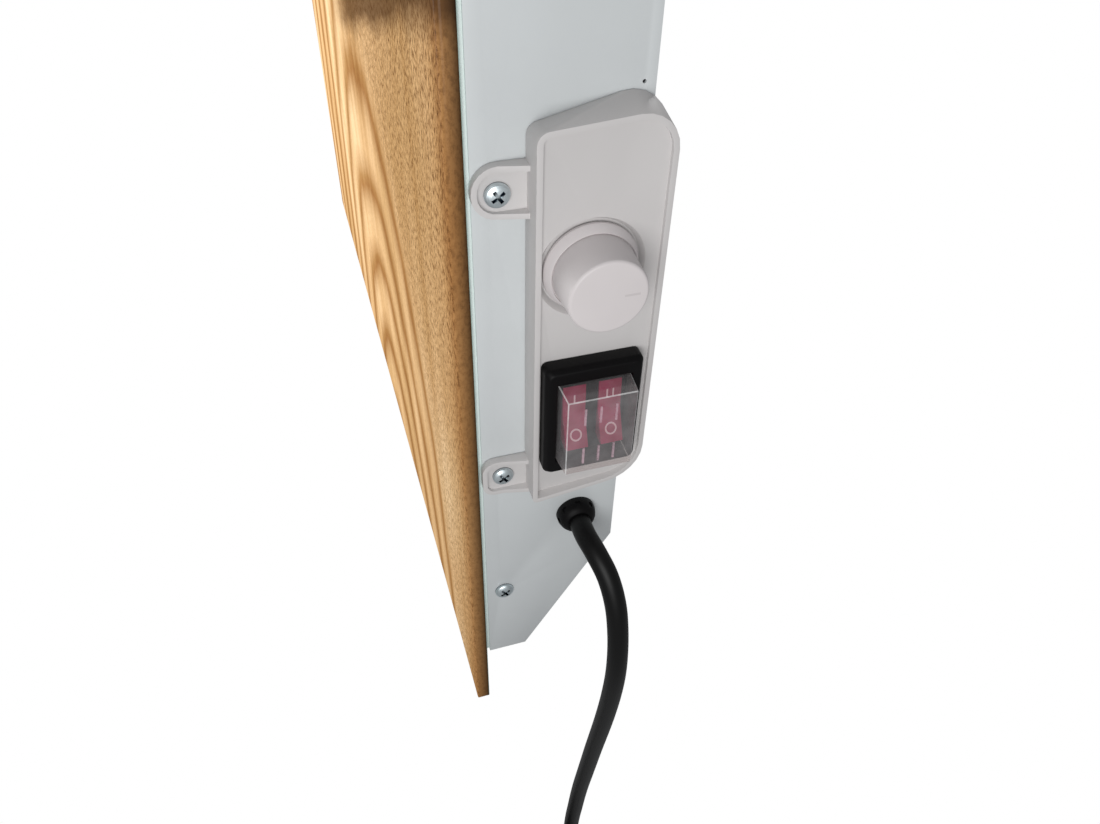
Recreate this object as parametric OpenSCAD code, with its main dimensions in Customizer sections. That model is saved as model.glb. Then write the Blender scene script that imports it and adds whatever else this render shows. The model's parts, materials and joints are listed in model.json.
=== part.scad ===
// Towel warmer with a flat glass front, a folded steel casing and a side control box.
// Frame: the wall is the plane y = 0, the room is towards -y, z is up and the origin is
// the middle of the wall bracket's four fixing holes.

/* [Glass] */
// Width of the glass panel
glass_w = 500; // [450:1:600]
// Height of the glass panel
glass_h = 700; // [620:1:900]
// Thickness of the glass panel
glass_t = 6; // [5:0.5:8]
// Radius of the ground edge
edge_r = 1.6; // [0.5:0.1:2]
// Radius of the panel's corners
corner_r = 3; // [1:0.5:8]

/* [Casing] */
// Depth of the casing from its front edge to its back
casing_depth = 55; // [52:1:70]
// Height of glass that stands past the casing at the top and the bottom
overhang = 38.5; // [20:0.5:60]
// Width of glass that stands past each side plate
side_inset = 1.5; // [0.5:0.5:10]
// Depth of the flat strip under the slope
foot_depth = 17; // [12:1:25]
// Height of the sloped corner
slope_h = 67; // [55:1:75]
// Thickness of the casing's sheet steel
sheet_t = 1; // [0.8:0.1:1.5]
// Height of the lip that is folded up behind the glass
lip_h = 14; // [8:1:20]
// Width of the side plates' folded rear flange
flange_w = 12; // [8:1:16]
// Thickness of the foam tape between glass and casing
tape_t = 1.3; // [1:0.1:2]

/* [Inner frame and heater] */
// Width of the frame rails' glued leg
rail_leg = 24; // [20:1:26]
// Depth of the frame rails' screwed leg
rail_side_leg = 14; // [12:1:16]
// Thickness of the frame rails
rail_t = 1.5; // [1:0.1:2]
// Thickness of the heating mat
mat_t = 1; // [0.5:0.1:1]
// Margin of the heating mat at the glass's side edges
mat_side = 32; // [30:0.5:60]
// Margin of the heating mat at the casing's top and bottom
mat_end = 31.5; // [24:0.5:72]
// Width of a copper busbar
busbar_w = 7; // [4:0.5:8]
// Thickness of the reflector sheet
reflector_t = 0.5; // [0.3:0.1:0.8]
// Thickness of the insulation board
board_t = 12; // [8:1:12]
// Margin of the insulation board and its reflector at the side plates' outer faces
board_side = 28.5; // [28.5:0.5:49]
// Margin of the insulation board and its reflector at the casing's top and bottom
board_end = 24; // [21.5:0.5:62]
// Heights of the board's straps above the casing's bottom
strap_levels = [160, 330];
// Height of a strap
strap_h = 20; // [12:1:30]
// Thickness of a strap
strap_t = 1; // [0.8:0.1:1.5]

/* [Wall bracket] */
// Gap between the casing and the wall
wall_gap = 15; // [14:1:25]
// Distance of the fixing holes' middle below the casing's top
bracket_drop = 105; // [100:1:160]
// Distance between the fixing holes along the wall
fixing_span = 300; // [200:5:360]
// Distance between the fixing holes up the wall
fixing_rise = 30; // [20:1:36]
// Diameter of a fixing hole
fixing_d = 5.5; // [4:0.5:7]
// Width of the bracket
bracket_w = 340; // [320:5:400]
// Height of the bracket
bracket_h = 56; // [48:1:70]
// Thickness of the bracket's steel
bracket_t = 2; // [1.5:0.5:3]
// Distance of each hook from the middle
hook_x = 110; // [60:5:140]
// Width of a hook
hook_w = 30; // [20:1:40]
// Height of the hook's upturned end
hook_rise = 10; // [6:1:12]
// Diameter of the lower wall spacers
spacer_d = 24; // [16:1:30]
// Height of the spacers above the casing's bottom
spacer_level = 100; // [90:5:200]
// Distance of each spacer from the middle
spacer_x = 180; // [120:5:210]

/* [Control box] */
// Distance of the box's front wall behind the casing's front edge
box_y = 16.5; // [16:0.2:18]
// Depth of the box from front to rear
box_depth = 42.7; // [41:0.1:44]
// Height of the box's lower front corner above the casing's bottom
box_z = 110.2; // [105:0.2:130]
// Height of the box along its front wall
box_h = 148.5; // [146:0.5:160]
// Rise of the lower edge from front to rear
box_low_rise = 5.8; // [3:0.1:8]
// Rise of the upper edge from front to rear at the rim
box_top_rise = 3.3; // [0:0.1:6]
// Extra rise of the upper edge where the box meets the plate
box_top_draft = 4.6; // [0:0.1:6]
// How far the rim stands out of the side plate
rim_x = 11.5; // [10.5:0.1:14]
// Width of the rim
rim_w = 1.9; // [1.4:0.1:2.6]
// Depth of the face below the rim
face_recess = 1.5; // [1:0.1:2]
// Wall thickness of the box
box_wall = 2.2; // [1.6:0.1:2.6]
// Height of the sloped apron below the face
apron_h = 11.3; // [8:0.1:14]
// Depth that the apron falls back by
apron_drop = 3; // [1:0.1:3.4]
// Gap between the box and the side plate
box_gap = 0.3; // [0.2:0.1:0.5]
// Height of the upper lug's screw above the casing's bottom
lug_top_z = 237; // [220:0.5:245]
// Height of the lower lug's screw above the casing's bottom
lug_low_z = 119; // [118:0.5:124]
// Height of the lowest side screw above the casing's bottom
bare_screw_z = 44.6; // [30:0.5:60]
// Distance of the side screws behind the casing's front edge
screw_y = 7.4; // [7:0.1:8]
// Height of a lug
lug_h = 17; // [15:0.5:18]
// Height of the ribs on the lugs where they start
lug_rib = 3; // [2.4:0.1:3.5]

/* [Knob and thermostat] */
// Distance of the knob's axis behind the casing's front edge
knob_y = 35; // [35:0.5:37]
// Height of the knob's axis above the casing's bottom
knob_z = 212; // [208:0.2:216]
// Diameter of the knob's face
knob_d = 25.6; // [24:0.2:26]
// Extra diameter of the knob's barrel at its skirt
knob_draft = 1.4; // [0:0.1:2]
// How far the knob stands out of the side plate
knob_x = 26.5; // [24:0.5:30]
// Diameter of the knob's skirt
skirt_d = 31.2; // [30:0.2:31.4]
// Height of the knob's skirt
skirt_h = 4.3; // [3.5:0.1:5]
// Diameter of the dish round the knob
dish_d = 35.5; // [34:0.5:38]
// Depth of the dish
dish_depth = 2.2; // [1.5:0.1:2.4]
// Diameter of the thermostat's shaft
shaft_d = 6; // [5:0.5:6]
// Diameter of the thermostat's threaded bush
bush_d = 10; // [9:0.5:11]
// Width and height of the thermostat's body
stat_w = 29; // [26:0.5:29]
// Depth of the thermostat's body
stat_depth = 16; // [12:0.5:20]

/* [Switch] */
// Distance of the switch's middle behind the casing's front edge
switch_y = 36.4; // [36:0.2:37]
// Height of the switch's middle above the casing's bottom
switch_z = 154.2; // [154:0.2:160]
// Width of the switch's black frame
bezel_w = 34.8; // [33:0.2:34.8]
// Height of the switch's black frame
bezel_h = 47.6; // [42:0.2:48]
// Thickness of the switch's black frame
bezel_t = 7; // [5:0.5:8]
// Width of the clear cap at its base
cap_w = 26.2; // [26:0.2:27]
// Height of the clear cap at its base
cap_h = 35.2; // [35:0.2:36]
// How far the clear cap stands out of the side plate
cap_x = 25; // [25:0.5:30]
// Wall of the clear cap
cap_wall = 1; // [0.8:0.1:1.1]
// Width of a rocker
rocker_w = 8.2; // [7:0.1:8.4]
// Distance between the two rockers' middles
rocker_pitch = 12.9; // [11.5:0.1:13]
// Half the length of a rocker
rocker_l = 12.6; // [11:0.1:12.8]
// Angle of a rocker between level and pressed in
rocker_tilt = 13; // [8:0.5:13.5]
// Angle by which each half of the rocker's face rises
rocker_vee = 10; // [6:0.5:11]
// Height of the rocker's middle above its pivot
rocker_mid = 7.2; // [6:0.1:7.6]

/* [Cord] */
// Diameter of the cord
cord_d = 8.8; // [6:0.1:8.8]
// Distance of the gland behind the casing's front edge
gland_y = 38; // [36:0.5:42]
// Height of the gland above the casing's bottom
gland_z = 87; // [84:0.5:94]
// Diameter of the gland's head
gland_d = 16; // [15:0.5:17]
// How far the gland stands out of the plate
gland_x = 6.5; // [6:0.5:8]
// Radius of the coil's outer turn
coil_r = 58; // [52:0.5:66]
// Step between neighbouring turns of the coil
coil_step = 9.4; // [9.4:0.1:10]
// Diameter of the plug's body
plug_d = 38; // [34:1:42]
// Length of the plug's body
plug_l = 38; // [30:1:48]
// Diameter of a plug pin
pin_d = 4.8; // [4:0.1:4.8]
// Length of a plug pin
pin_l = 19; // [15:0.5:22]
// Distance between the plug pins
pin_pitch = 19; // [19:0.5:22]

/* [Towel rails] */
// Length of a towel rail without its end caps
towel_rail_l = 434; // [400:2:480]
// Diameter of a towel rail
towel_rail_d = 22; // [18:1:28]
// Wall of a towel rail
towel_rail_wall = 1.2; // [1:0.1:2]
// Clear gap between a towel rail and the glass
towel_gap = 45; // [35:1:70]
// Distance of the upper towel rail below the glass's top
towel_rail_drop = 70; // [66:1:90]
// Distance between the two towel rails
towel_rail_pitch = 140; // [110:1:150]
// Distance of each rail post from the glass's side edge
post_in = 60; // [60:1:100]
// Diameter of a rail post
post_d = 16; // [14:1:18]
// Diameter of the bolts that hold the posts
post_bolt_d = 8; // [6:0.5:8]
// Diameter of the bores in the glass
glass_bore_d = 12; // [11:0.5:14]
// Diameter of the openings round the bolts in the heater
heater_hole_d = 34; // [30:1:34]

/* [Hidden] */

$fn = 48;
cut = 1;

// Gaps that keep fitted pieces apart
slide_gap = 0.05;
screw_gap = 0.2;
side_gap = 0.3;
fit_gap = 0.2;

// Places of the main planes and edges
casing_front = -wall_gap - casing_depth;
glass_y = casing_front - tape_t - glass_t;
glass_back = casing_front - tape_t;
casing_h = glass_h - 2 * overhang;
casing_z = bracket_drop - casing_h;
glass_z = casing_z - overhang;
side_x = glass_w / 2 - side_inset;
post_x = glass_w / 2 - post_in;
mat_w = glass_w - 2 * mat_side;
mat_h = casing_h - 2 * mat_end;
board_w = 2 * side_x - 2 * board_side;
board_h = casing_h - 2 * board_end;
inner_x = side_x - sheet_t;
board_front = casing_front + reflector_t;
board_back = board_front + board_t;
middle_z = casing_z + casing_h / 2;

// Control box and what sits in it, measured out of the side plate
face_x = rim_x - face_recess;
box_rear = box_y + box_depth;
box_top = box_z + box_h;
dish_x = face_x - dish_depth;
stat_x = dish_x - box_wall;
knob_base_x = dish_x + 0.7;
shaft_end = knob_x - 2.5;
flat_depth = 1.5;
flat_l = 10;
bush_l = 6.4;
bezel_x = face_x + bezel_t;
switch_flange_t = 2;
cap_base_x = face_x + switch_flange_t;
cap_top_w = cap_w - 1.6;
cap_top_h = cap_h - 1.6;
body_w = cap_w - 2 * cap_wall - 0.4;
body_h = cap_h - 2 * cap_wall - 2.2;
body_depth = 22;
pivot_x = face_x - 2;
rocker_end = rocker_mid + rocker_l * tan(rocker_vee);
rocker_reach = norm([rocker_end, rocker_l]);
well_l = 2 * rocker_reach * sin(atan2(rocker_l, rocker_end) + rocker_tilt) + 2 * side_gap;
well_w = rocker_w + 2 * side_gap;
pivot_d = 2.4;
side_screw_d = 4;
side_screw_l = 12;
screw_head_d = 8;
screw_head_h = 2.4;
lug_floor = 1.5;

// Towel rails
post_front = glass_y - towel_gap - towel_rail_d / 2;
towel_rail_z = glass_z + glass_h - towel_rail_drop;
gasket_t = 1;
gasket_d = post_d + 3;
washer_t = 1.6;
washer_d = 22;
bolt_depth = 18;
cap_plug_l = 8;
cap_disc_t = 3;

// Inner wiring, measured from the side plate's face, the casing's front edge and its bottom
core_d = 2.4;
busbar_x = mat_w / 2 - 2 - busbar_w;
lead_z = 365;
neutral_z = 100;
lead_x = -26.7;
sheath_end = -30;
block_x = -90;
block_l = 38;
block_y = 38;
block_h = 32;
core_pitch = 8;
block_wire_y = 42;
cutout_x = -60;
cutout_z = strap_levels[1];
earth_x = -140;
earth_z = 112;

// Route of the free cord out of the side plate, from the gland to the coil, in the same measures
cord_x = 10;
cord_y = 44;
coil_top = -231;
cord_route = [
    [6.5, 38, 87], [14, 38, 87], [22.5, 39.5, 85.5], [30.5, 42, 79.5], [37, 43.5, 69.5], [41, 44, 57],
    [43.5, 44, 43], [44, 44, 28], [42.5, 44, 10], [40, 44, -8], [37, 44, -26], [33.5, 44, -45],
    [30, 44, -64], [26.5, 44, -84], [23, 44, -104], [19.5, 44, -124], [16.5, 44, -144],
    [14, 44, -164], [11.5, 44, -184], [10, 44, -204], [10, 44, -218], [10, 44, -231]
];
cord_sides = 8;
core_sides = 6;

// Coil: it spirals in for half its turns and out again in a second layer
coil_turns = 4;
coil_layer = 9.4;
ring_steps = 24;
coil_sides = 6;
coil_y = cord_y - coil_r;
coil_z = coil_top - 2 * cord_d;
tail_l = 36;
plug_top = coil_z - tail_l;
relief_l = 28;
plug_face = plug_top - relief_l - plug_l;
tie_t = 1.2;
tie_w = 6;

// Corner b of an outline between a and c, rounded by radius r
function corner(a, b, c, r, steps) = r <= 0 ? [b] :
    let (u = (a - b) / norm(a - b), v = (c - b) / norm(c - b), half = acos(u * v) / 2)
    let (middle = b + (u + v) / norm(u + v) * r / sin(half), turn = 180 - 2 * half)
    let (from = b + u * r / tan(half) - middle, to = b + v * r / tan(half) - middle)
    [for (i = [0 : steps])
        middle + (from * sin(turn * (1 - i / steps)) + to * sin(turn * i / steps)) / sin(turn)];

// Outline p with its corners rounded by the radii r
function rounded(p, r, steps = 6) = [
    for (i = [0 : len(p) - 1])
        each corner(p[(i + len(p) - 1) % len(p)], p[i], p[(i + 1) % len(p)], r[i], steps)
];

// Unit vector to the left of the way from a to b
function left_of(a, b) = [a.y - b.y, b.x - a.x] / norm(b - a);

// Point i moved in by t from the edges that meet there
function mitred(p, i, m, n, t) = p[i] + (m + n) * t / (1 + m * n);

// Closed outline p, drawn anticlockwise, moved in by t
function inset(p, t) = [
    for (i = [0 : len(p) - 1])
        let (before = p[(i + len(p) - 1) % len(p)], after = p[(i + 1) % len(p)])
        mitred(p, i, left_of(before, p[i]), left_of(p[i], after), t)
];

// Sheet of thickness t folded along the open path p, on the path's left
function folded(p, t) = concat(p, [
    for (i = [len(p) - 1 : -1 : 0])
        let (a = max(i, 1), b = min(i, len(p) - 2))
        mitred(p, i, left_of(p[a - 1], p[a]), left_of(p[b], p[b + 1]), t)
]);

// Rectangle of width w and height h round the origin, corners anticlockwise
function box_points(w, h) = [[-w, -h], [w, -h], [w, h], [-w, h]] / 2;

// Direction of a path at point i
function heading(p, i) =
    let (d = p[min(i + 1, len(p) - 1)] - p[max(i - 1, 0)])
    d / norm(d);

// Side vectors carried along a path without twist
function carried(p, v, i = 0) = i == len(p) ? [] :
    let (t = heading(p, i), across = v - (v * t) * t, n = across / norm(across))
    concat([n], carried(p, n, i + 1));

// Tube of diameter d along the path p, with its first corner towards v
module tube(p, d, sides, v) {
    n = carried(p, v);
    last = (len(p) - 1) * sides;
    points = [
        for (i = [0 : len(p) - 1])
            let (b = cross(heading(p, i), n[i]))
            for (k = [0 : sides - 1])
                p[i] + d / 2 * (n[i] * cos(360 * k / sides) + b * sin(360 * k / sides))
    ];
    walls = [
        for (i = [0 : len(p) - 2], k = [0 : sides - 1])
            let (a = i * sides + k, c = i * sides + (k + 1) % sides)
            each [[a, a + sides, c + sides], [a, c + sides, c]]
    ];
    caps = [for (k = [1 : sides - 2]) each [[0, k, k + 1], [last, last + k + 1, last + k]]];
    polyhedron(points, concat(walls, caps));
}

module along_x(l) {
    rotate([90, 0, 90]) linear_extrude(l) children();
}

module along_y(l) {
    translate([0, l, 0]) rotate([90, 0, 0]) linear_extrude(l) children();
}

module rod_x(l, d) {
    rotate([0, 90, 0]) cylinder(h = l, d = d);
}

module rod_y(l, d) {
    rotate([-90, 0, 0]) cylinder(h = l, d = d);
}

// Moves a piece to the right side plate's outer face, the casing's front edge and its bottom
module at_side() {
    translate([side_x, casing_front, casing_z]) children();
}

module at_posts() {
    for (drop = [0, towel_rail_pitch], side = [-1, 1])
        translate([side * post_x, 0, towel_rail_z - drop]) children();
}

module at_side_screws() {
    for (z = [lug_top_z, lug_low_z, bare_screw_z])
        translate([0, screw_y, z]) children();
}

// Pan head screw along x with its head's seat at x = 0
module pan_screw(l) {
    slot_w = 1.1;
    slot_l = 4.6;
    slot_depth = 1.3;
    difference() {
        union() {
            translate([-l, 0, 0]) rod_x(l, side_screw_d);
            rotate([0, 90, 0]) rotate_extrude()
                polygon(concat([[0, 0], [screw_head_d / 2, 0]], [
                    for (i = [0 : 5])
                        [screw_head_d / 2 * cos(15 * i), 0.8 + (screw_head_h - 0.8) * sin(15 * i)]
                ], [[0, screw_head_h]]));
        }
        for (turn = [35, 125])
            translate([screw_head_h - slot_depth, 0, 0]) rotate([turn, 0, 0])
                translate([0, -slot_l / 2, -slot_w / 2]) cube([slot_depth + cut, slot_l, slot_w]);
    }
}

module glass_panel() {
    color("burlywood") difference() {
        intersection() {
            translate([-glass_w / 2, glass_y, glass_z]) along_x(glass_w)
                polygon(rounded([[0, 0], [glass_t, 0], [glass_t, glass_h], [0, glass_h]],
                    [edge_r, edge_r, edge_r, edge_r], 4));
            translate([0, glass_y + glass_t / 2, glass_z]) linear_extrude(glass_h)
                polygon(rounded(box_points(glass_w, glass_t), [edge_r, edge_r, edge_r, edge_r], 4));
            translate([0, glass_y, glass_z + glass_h / 2]) along_y(glass_t)
                polygon(rounded(box_points(glass_w, glass_h), [corner_r, corner_r, corner_r, corner_r]));
        }
        at_posts() translate([0, glass_y - cut, 0]) rod_y(glass_t + 2 * cut, glass_bore_d);
    }
}

module glass_tape() {
    tape_inset = 1;
    w = 2 * (side_x - tape_inset);
    h = casing_h - 2 * tape_inset;
    color("palegreen") translate([0, glass_back, middle_z]) along_y(tape_t) difference() {
        square([w, h], center = true);
        square([w - 2 * (rail_leg - 2), h - 2 * (lip_h - 2)], center = true);
    }
}

// Steel angle on the side that at_side gives, inside the side plate
module frame_rail() {
    low = lip_h + sheet_t;
    color("lightgray") translate([0, 0, low]) difference() {
        linear_extrude(casing_h - 2 * low) polygon([
            [-sheet_t, 0], [-sheet_t, rail_side_leg], [-sheet_t - rail_t, rail_side_leg],
            [-sheet_t - rail_t, rail_t], [-sheet_t - rail_leg, rail_t], [-sheet_t - rail_leg, 0]
        ]);
        translate([-rail_side_leg, 0, -low]) at_side_screws()
            rod_x(rail_side_leg, side_screw_d + 2 * slide_gap);
    }
}

module frame_rail_right() {
    at_side() frame_rail();
}

module frame_rail_left() {
    mirror([1, 0, 0]) at_side() frame_rail();
}

module heating_mat() {
    color("dimgray") difference() {
        translate([-mat_w / 2, glass_back, middle_z - mat_h / 2]) cube([mat_w, mat_t, mat_h]);
        heater_holes();
    }
}

// Room in the heater's layers round the bolts of the rail posts
module heater_holes() {
    at_posts() translate([0, glass_back - cut, 0]) rod_y(board_t + 4 * cut, heater_hole_d);
}

module busbars() {
    tab_h = 8;
    tab_end = side_x + lead_x + core_d / 2 + 0.5;
    color("peru") for (side = [-1, 1]) {
        tab_z = side > 0 ? lead_z : neutral_z;
        translate([0, glass_back + mat_t, 0]) along_y(tape_t - mat_t) union() {
            translate([side > 0 ? busbar_x : -busbar_x - busbar_w, middle_z - mat_h / 2 + 10])
                square([busbar_w, mat_h - 20]);
            translate([side > 0 ? busbar_x : -tab_end, casing_z + tab_z - tab_h / 2])
                square([tab_end - busbar_x, tab_h]);
        }
    }
}

module reflector_sheet() {
    color("silver") difference() {
        translate([-board_w / 2, casing_front, middle_z - board_h / 2]) cube([board_w, reflector_t, board_h]);
        heater_holes();
    }
}

module insulation_board() {
    color("khaki") difference() {
        translate([-board_w / 2, board_front, middle_z - board_h / 2]) cube([board_w, board_t, board_h]);
        heater_holes();
    }
}

module board_straps() {
    half = inner_x - rail_t;
    arm_front = casing_front + rail_t + 1;
    color("lightgray") for (z = strap_levels)
        translate([0, 0, casing_z + z - strap_h / 2]) linear_extrude(strap_h) polygon([
            [-half, board_back + strap_t], [-half, arm_front], [-half + strap_t, arm_front],
            [-half + strap_t, board_back], [half - strap_t, board_back], [half - strap_t, arm_front],
            [half, arm_front], [half, board_back + strap_t]
        ]);
}

// Casing's outline from front lip to front lip, round the bottom, the back and the top
function casing_path() = [
    [0, lip_h], [0, 0], [foot_depth, 0], [casing_depth, slope_h],
    [casing_depth, casing_h - slope_h], [foot_depth, casing_h], [0, casing_h], [0, casing_h - lip_h]
];

module rear_casing() {
    slot_h = hook_rise + bracket_t + 3;
    color("white") difference() {
        translate([-inner_x, casing_front, casing_z]) along_x(2 * inner_x)
            polygon(folded(casing_path(), sheet_t));
        for (side = [-1, 1])
            translate([side * hook_x - hook_w / 2 - 2, -wall_gap - sheet_t - cut, hook_z() - slot_h])
                cube([hook_w + 4, sheet_t + 2 * cut, slot_h]);
        at_rivets() rod_y(rivet_l, rivet_d + 2 * slide_gap);
    }
}

// Side sheet in the local measures of at_side, with its folded rear flange
module side_sheet() {
    difference() {
        union() {
            translate([-sheet_t, 0, 0]) along_x(sheet_t) polygon([
                [0, 0], [foot_depth, 0], [casing_depth, slope_h],
                [casing_depth, casing_h - slope_h], [foot_depth, casing_h], [0, casing_h]
            ]);
            translate([-sheet_t - flange_w, casing_depth - 2 * sheet_t, slope_h + 3])
                cube([flange_w + sheet_t / 2, sheet_t, casing_h - 2 * slope_h - 6]);
        }
        translate([-sheet_t - cut, 0, 0]) at_side_screws()
            rod_x(sheet_t + 2 * cut, side_screw_d + 2 * screw_gap);
    }
}

rivet_d = 3.2;
rivet_head_d = 6.5;
rivet_l = 3;

// Rivets through the casing's back and the side plates' flanges
module at_rivets() {
    for (side = [-1, 1], share = [0.12, 0.37, 0.63, 0.88])
        translate([side * (inner_x - flange_w / 2), -wall_gap - rivet_l,
            casing_z + slope_h + share * (casing_h - 2 * slope_h)]) children();
}

module side_plate_right() {
    window_y = knob_y - stat_w / 2 - 0.5;
    window_w = stat_w + 1;
    window_z = switch_z - body_h / 2 - 3;
    window_top = knob_z + stat_w / 2 + 3;
    dot_z = 265;
    dot_d = 1.2;
    color("whitesmoke") difference() {
        at_side() side_sheet();
        at_side() translate([-sheet_t - cut, 0, 0]) {
            translate([0, window_y, window_z]) cube([sheet_t + 2 * cut, window_w, window_top - window_z]);
            translate([0, gland_y, gland_z]) rod_x(sheet_t + 2 * cut, gland_d - 2);
            translate([0, casing_depth - 3.7, dot_z]) rod_x(sheet_t + 2 * cut, dot_d);
        }
        at_rivets() rod_y(rivet_l, rivet_d + 2 * slide_gap);
    }
}

module side_plate_left() {
    color("whitesmoke") difference() {
        mirror([1, 0, 0]) at_side() side_sheet();
        at_rivets() rod_y(rivet_l, rivet_d + 2 * slide_gap);
    }
}

module casing_rivets() {
    head_t = 0.8;
    color("gainsboro") at_rivets() {
        rod_y(rivet_l, rivet_d);
        translate([0, rivet_l, 0]) rod_y(head_t, rivet_head_d);
        translate([0, rivet_l - 2 * sheet_t - head_t, 0]) rod_y(head_t, rivet_head_d - 1.5);
    }
}

// Height of the hooks' upper face, where the casing hangs
function hook_z() = bracket_h / 4 - bracket_t;

module wall_bracket() {
    hook_y = wall_gap + sheet_t + 1;
    color("gray") difference() {
        union() {
            translate([-bracket_w / 2, 0, 0]) along_x(bracket_w) polygon([
                [0, -bracket_h / 2], [0, bracket_h / 2], [-wall_gap, bracket_h / 2],
                [-wall_gap, bracket_h / 2 - bracket_t], [-bracket_t, bracket_h / 2 - bracket_t],
                [-bracket_t, bracket_t - bracket_h / 2], [-wall_gap, bracket_t - bracket_h / 2],
                [-wall_gap, -bracket_h / 2]
            ]);
            for (side = [-1, 1])
                translate([side * hook_x - hook_w / 2, 0, hook_z()]) along_x(hook_w) polygon([
                    [-bracket_t / 2, -bracket_t], [-bracket_t / 2, 0], [-hook_y, 0],
                    [-hook_y, hook_rise], [-hook_y - bracket_t, hook_rise], [-hook_y - bracket_t, -bracket_t]
                ]);
        }
        for (x = [-1, 1], z = [-1, 1])
            translate([x * fixing_span / 2, -bracket_t - cut, z * fixing_rise / 2])
                rod_y(bracket_t + 2 * cut, fixing_d);
    }
}

module wall_spacers() {
    color("darkgray") for (side = [-1, 1])
        translate([side * spacer_x, -wall_gap, casing_z + spacer_level]) rod_y(wall_gap, spacer_d);
}

module side_screws() {
    color("silver") {
        at_side() translate([0, screw_y, bare_screw_z]) pan_screw(side_screw_l);
        mirror([1, 0, 0]) at_side() at_side_screws() pan_screw(side_screw_l);
    }
}

module lug_screws() {
    color("silver") at_side() for (z = [lug_top_z, lug_low_z])
        translate([box_gap + lug_floor, screw_y, z]) pan_screw(side_screw_l + lug_floor);
}

// Outlines of the control box seen from the side, front bottom corner first, anticlockwise
rim_outline = [
    [box_y, box_z], [box_rear, box_z + box_low_rise],
    [box_rear, box_top + box_top_rise], [box_y, box_top]
];
rim_radii = [2, 16, 12, 4];
base_outline = [
    rim_outline[0], rim_outline[1],
    rim_outline[2] + [0, box_top_draft], rim_outline[3] - [0, box_top_draft / 2]
];

// Side view prism whose outer limit is the box's face or a sheet of depth t behind it
module face_limit(t, x0, x1) {
    apron_top = box_z + apron_h;
    reach = 2 * box_depth;
    rotate([90, 0, 0]) translate([0, 0, -box_rear - reach / 2]) linear_extrude(box_depth + reach) polygon([
        [x0 ? -cut : face_x - apron_drop - t, box_z - 20],
        [x1 ? rim_x + cut : face_x - apron_drop - t, box_z - 20],
        [x1 ? rim_x + cut : face_x - apron_drop - t, box_z],
        [x1 ? rim_x + cut : face_x - t, apron_top],
        [x1 ? rim_x + cut : face_x - t, box_top + 30],
        [x0 ? -cut : face_x - t, box_top + 30],
        [x0 ? -cut : face_x - t, apron_top],
        [x0 ? -cut : face_x - apron_drop - t, box_z]
    ]);
}

module box_cavity() {
    boss_d = dish_d + 2 * box_wall;
    inner_radii = [for (r = rim_radii) max(r - box_wall, 0.5)];
    difference() {
        intersection() {
            hull() {
                translate([box_gap - cut, 0, 0]) along_x(cut)
                    polygon(rounded(inset(base_outline, box_wall), inner_radii));
                translate([face_x - box_wall - 0.5, 0, 0]) along_x(0.5)
                    polygon(rounded(inset(rim_outline, box_wall), inner_radii));
            }
            face_limit(box_wall, true, false);
        }
        translate([stat_x, knob_y, knob_z]) rod_x(box_wall + dish_depth, boss_d);
    }
}

// Screw lug in front of the box, its middle at height z
module lug(z, end_r) {
    rib_t = 1.8;
    tall = lug_rib + 2;
    tip = -0.6;
    half = lug_h / 2;
    outline = rounded([[tip, z - half], [box_y + 1, z - half], [box_y + 1, z + half], [tip, z + half]],
        [end_r, 0, 0, end_r]);
    hollow = rounded([
        [tip + rib_t, z - half + rib_t], [box_y + 2, z - half + rib_t],
        [box_y + 2, z + half - rib_t], [tip + rib_t, z + half - rib_t]
    ], [end_r - rib_t, 0, 0, end_r - rib_t]);
    translate([box_gap, 0, 0]) {
        along_x(lug_floor) polygon(outline);
        intersection() {
            along_x(tall) difference() {
                polygon(outline);
                polygon(hollow);
            }
            translate([0, 0, z - lug_h]) linear_extrude(2 * lug_h)
                polygon([[0, tip - cut], [lug_rib, tip - cut], [lug_rib, screw_y], [tall, box_y],
                    [tall, box_y + 2], [0, box_y + 2]]);
        }
    }
}

module control_housing() {
    rim_in = inset(rim_outline, rim_w);
    rim_in_radii = [for (r = rim_radii) max(r - rim_w, 0.4)];
    window = 0.4;
    color("gainsboro") at_side() difference() {
        union() {
            hull() {
                translate([box_gap, 0, 0]) along_x(0.5) polygon(rounded(base_outline, rim_radii));
                translate([rim_x - 2, 0, 0]) along_x(2) polygon(rounded(rim_outline, rim_radii));
            }
            lug(lug_top_z + 1, lug_h / 2 - 0.4);
            lug(lug_low_z, 5);
        }
        box_cavity();
        intersection() {
            along_x(rim_x + cut) polygon(rounded(rim_in, rim_in_radii));
            face_limit(0, false, true);
        }
        translate([dish_x, knob_y, knob_z]) rotate([0, 90, 0])
            cylinder(h = dish_depth, d1 = dish_d - 3, d2 = dish_d);
        translate([stat_x - cut, knob_y, knob_z]) rod_x(rim_x, bush_d + 2 * fit_gap);
        translate([-cut, switch_y - body_w / 2 - window / 2, switch_z - body_h / 2 - window / 2])
            cube([rim_x + cut, body_w + window, body_h + window]);
        for (z = [lug_top_z, lug_low_z])
            translate([-cut, screw_y, z]) rod_x(lug_rib + 2 * cut, side_screw_d + 2 * screw_gap);
    }
}

module at_knob() {
    at_side() translate([0, knob_y, knob_z]) children();
}

// Shaft's outline along its flatted end, grown by a gap
module shaft_end_shape(l, gap) {
    difference() {
        rod_x(l, shaft_d + 2 * gap);
        translate([-cut, shaft_d / 2 - flat_depth + gap, -shaft_d]) cube([l + 2 * cut, shaft_d, 2 * shaft_d]);
    }
}

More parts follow.
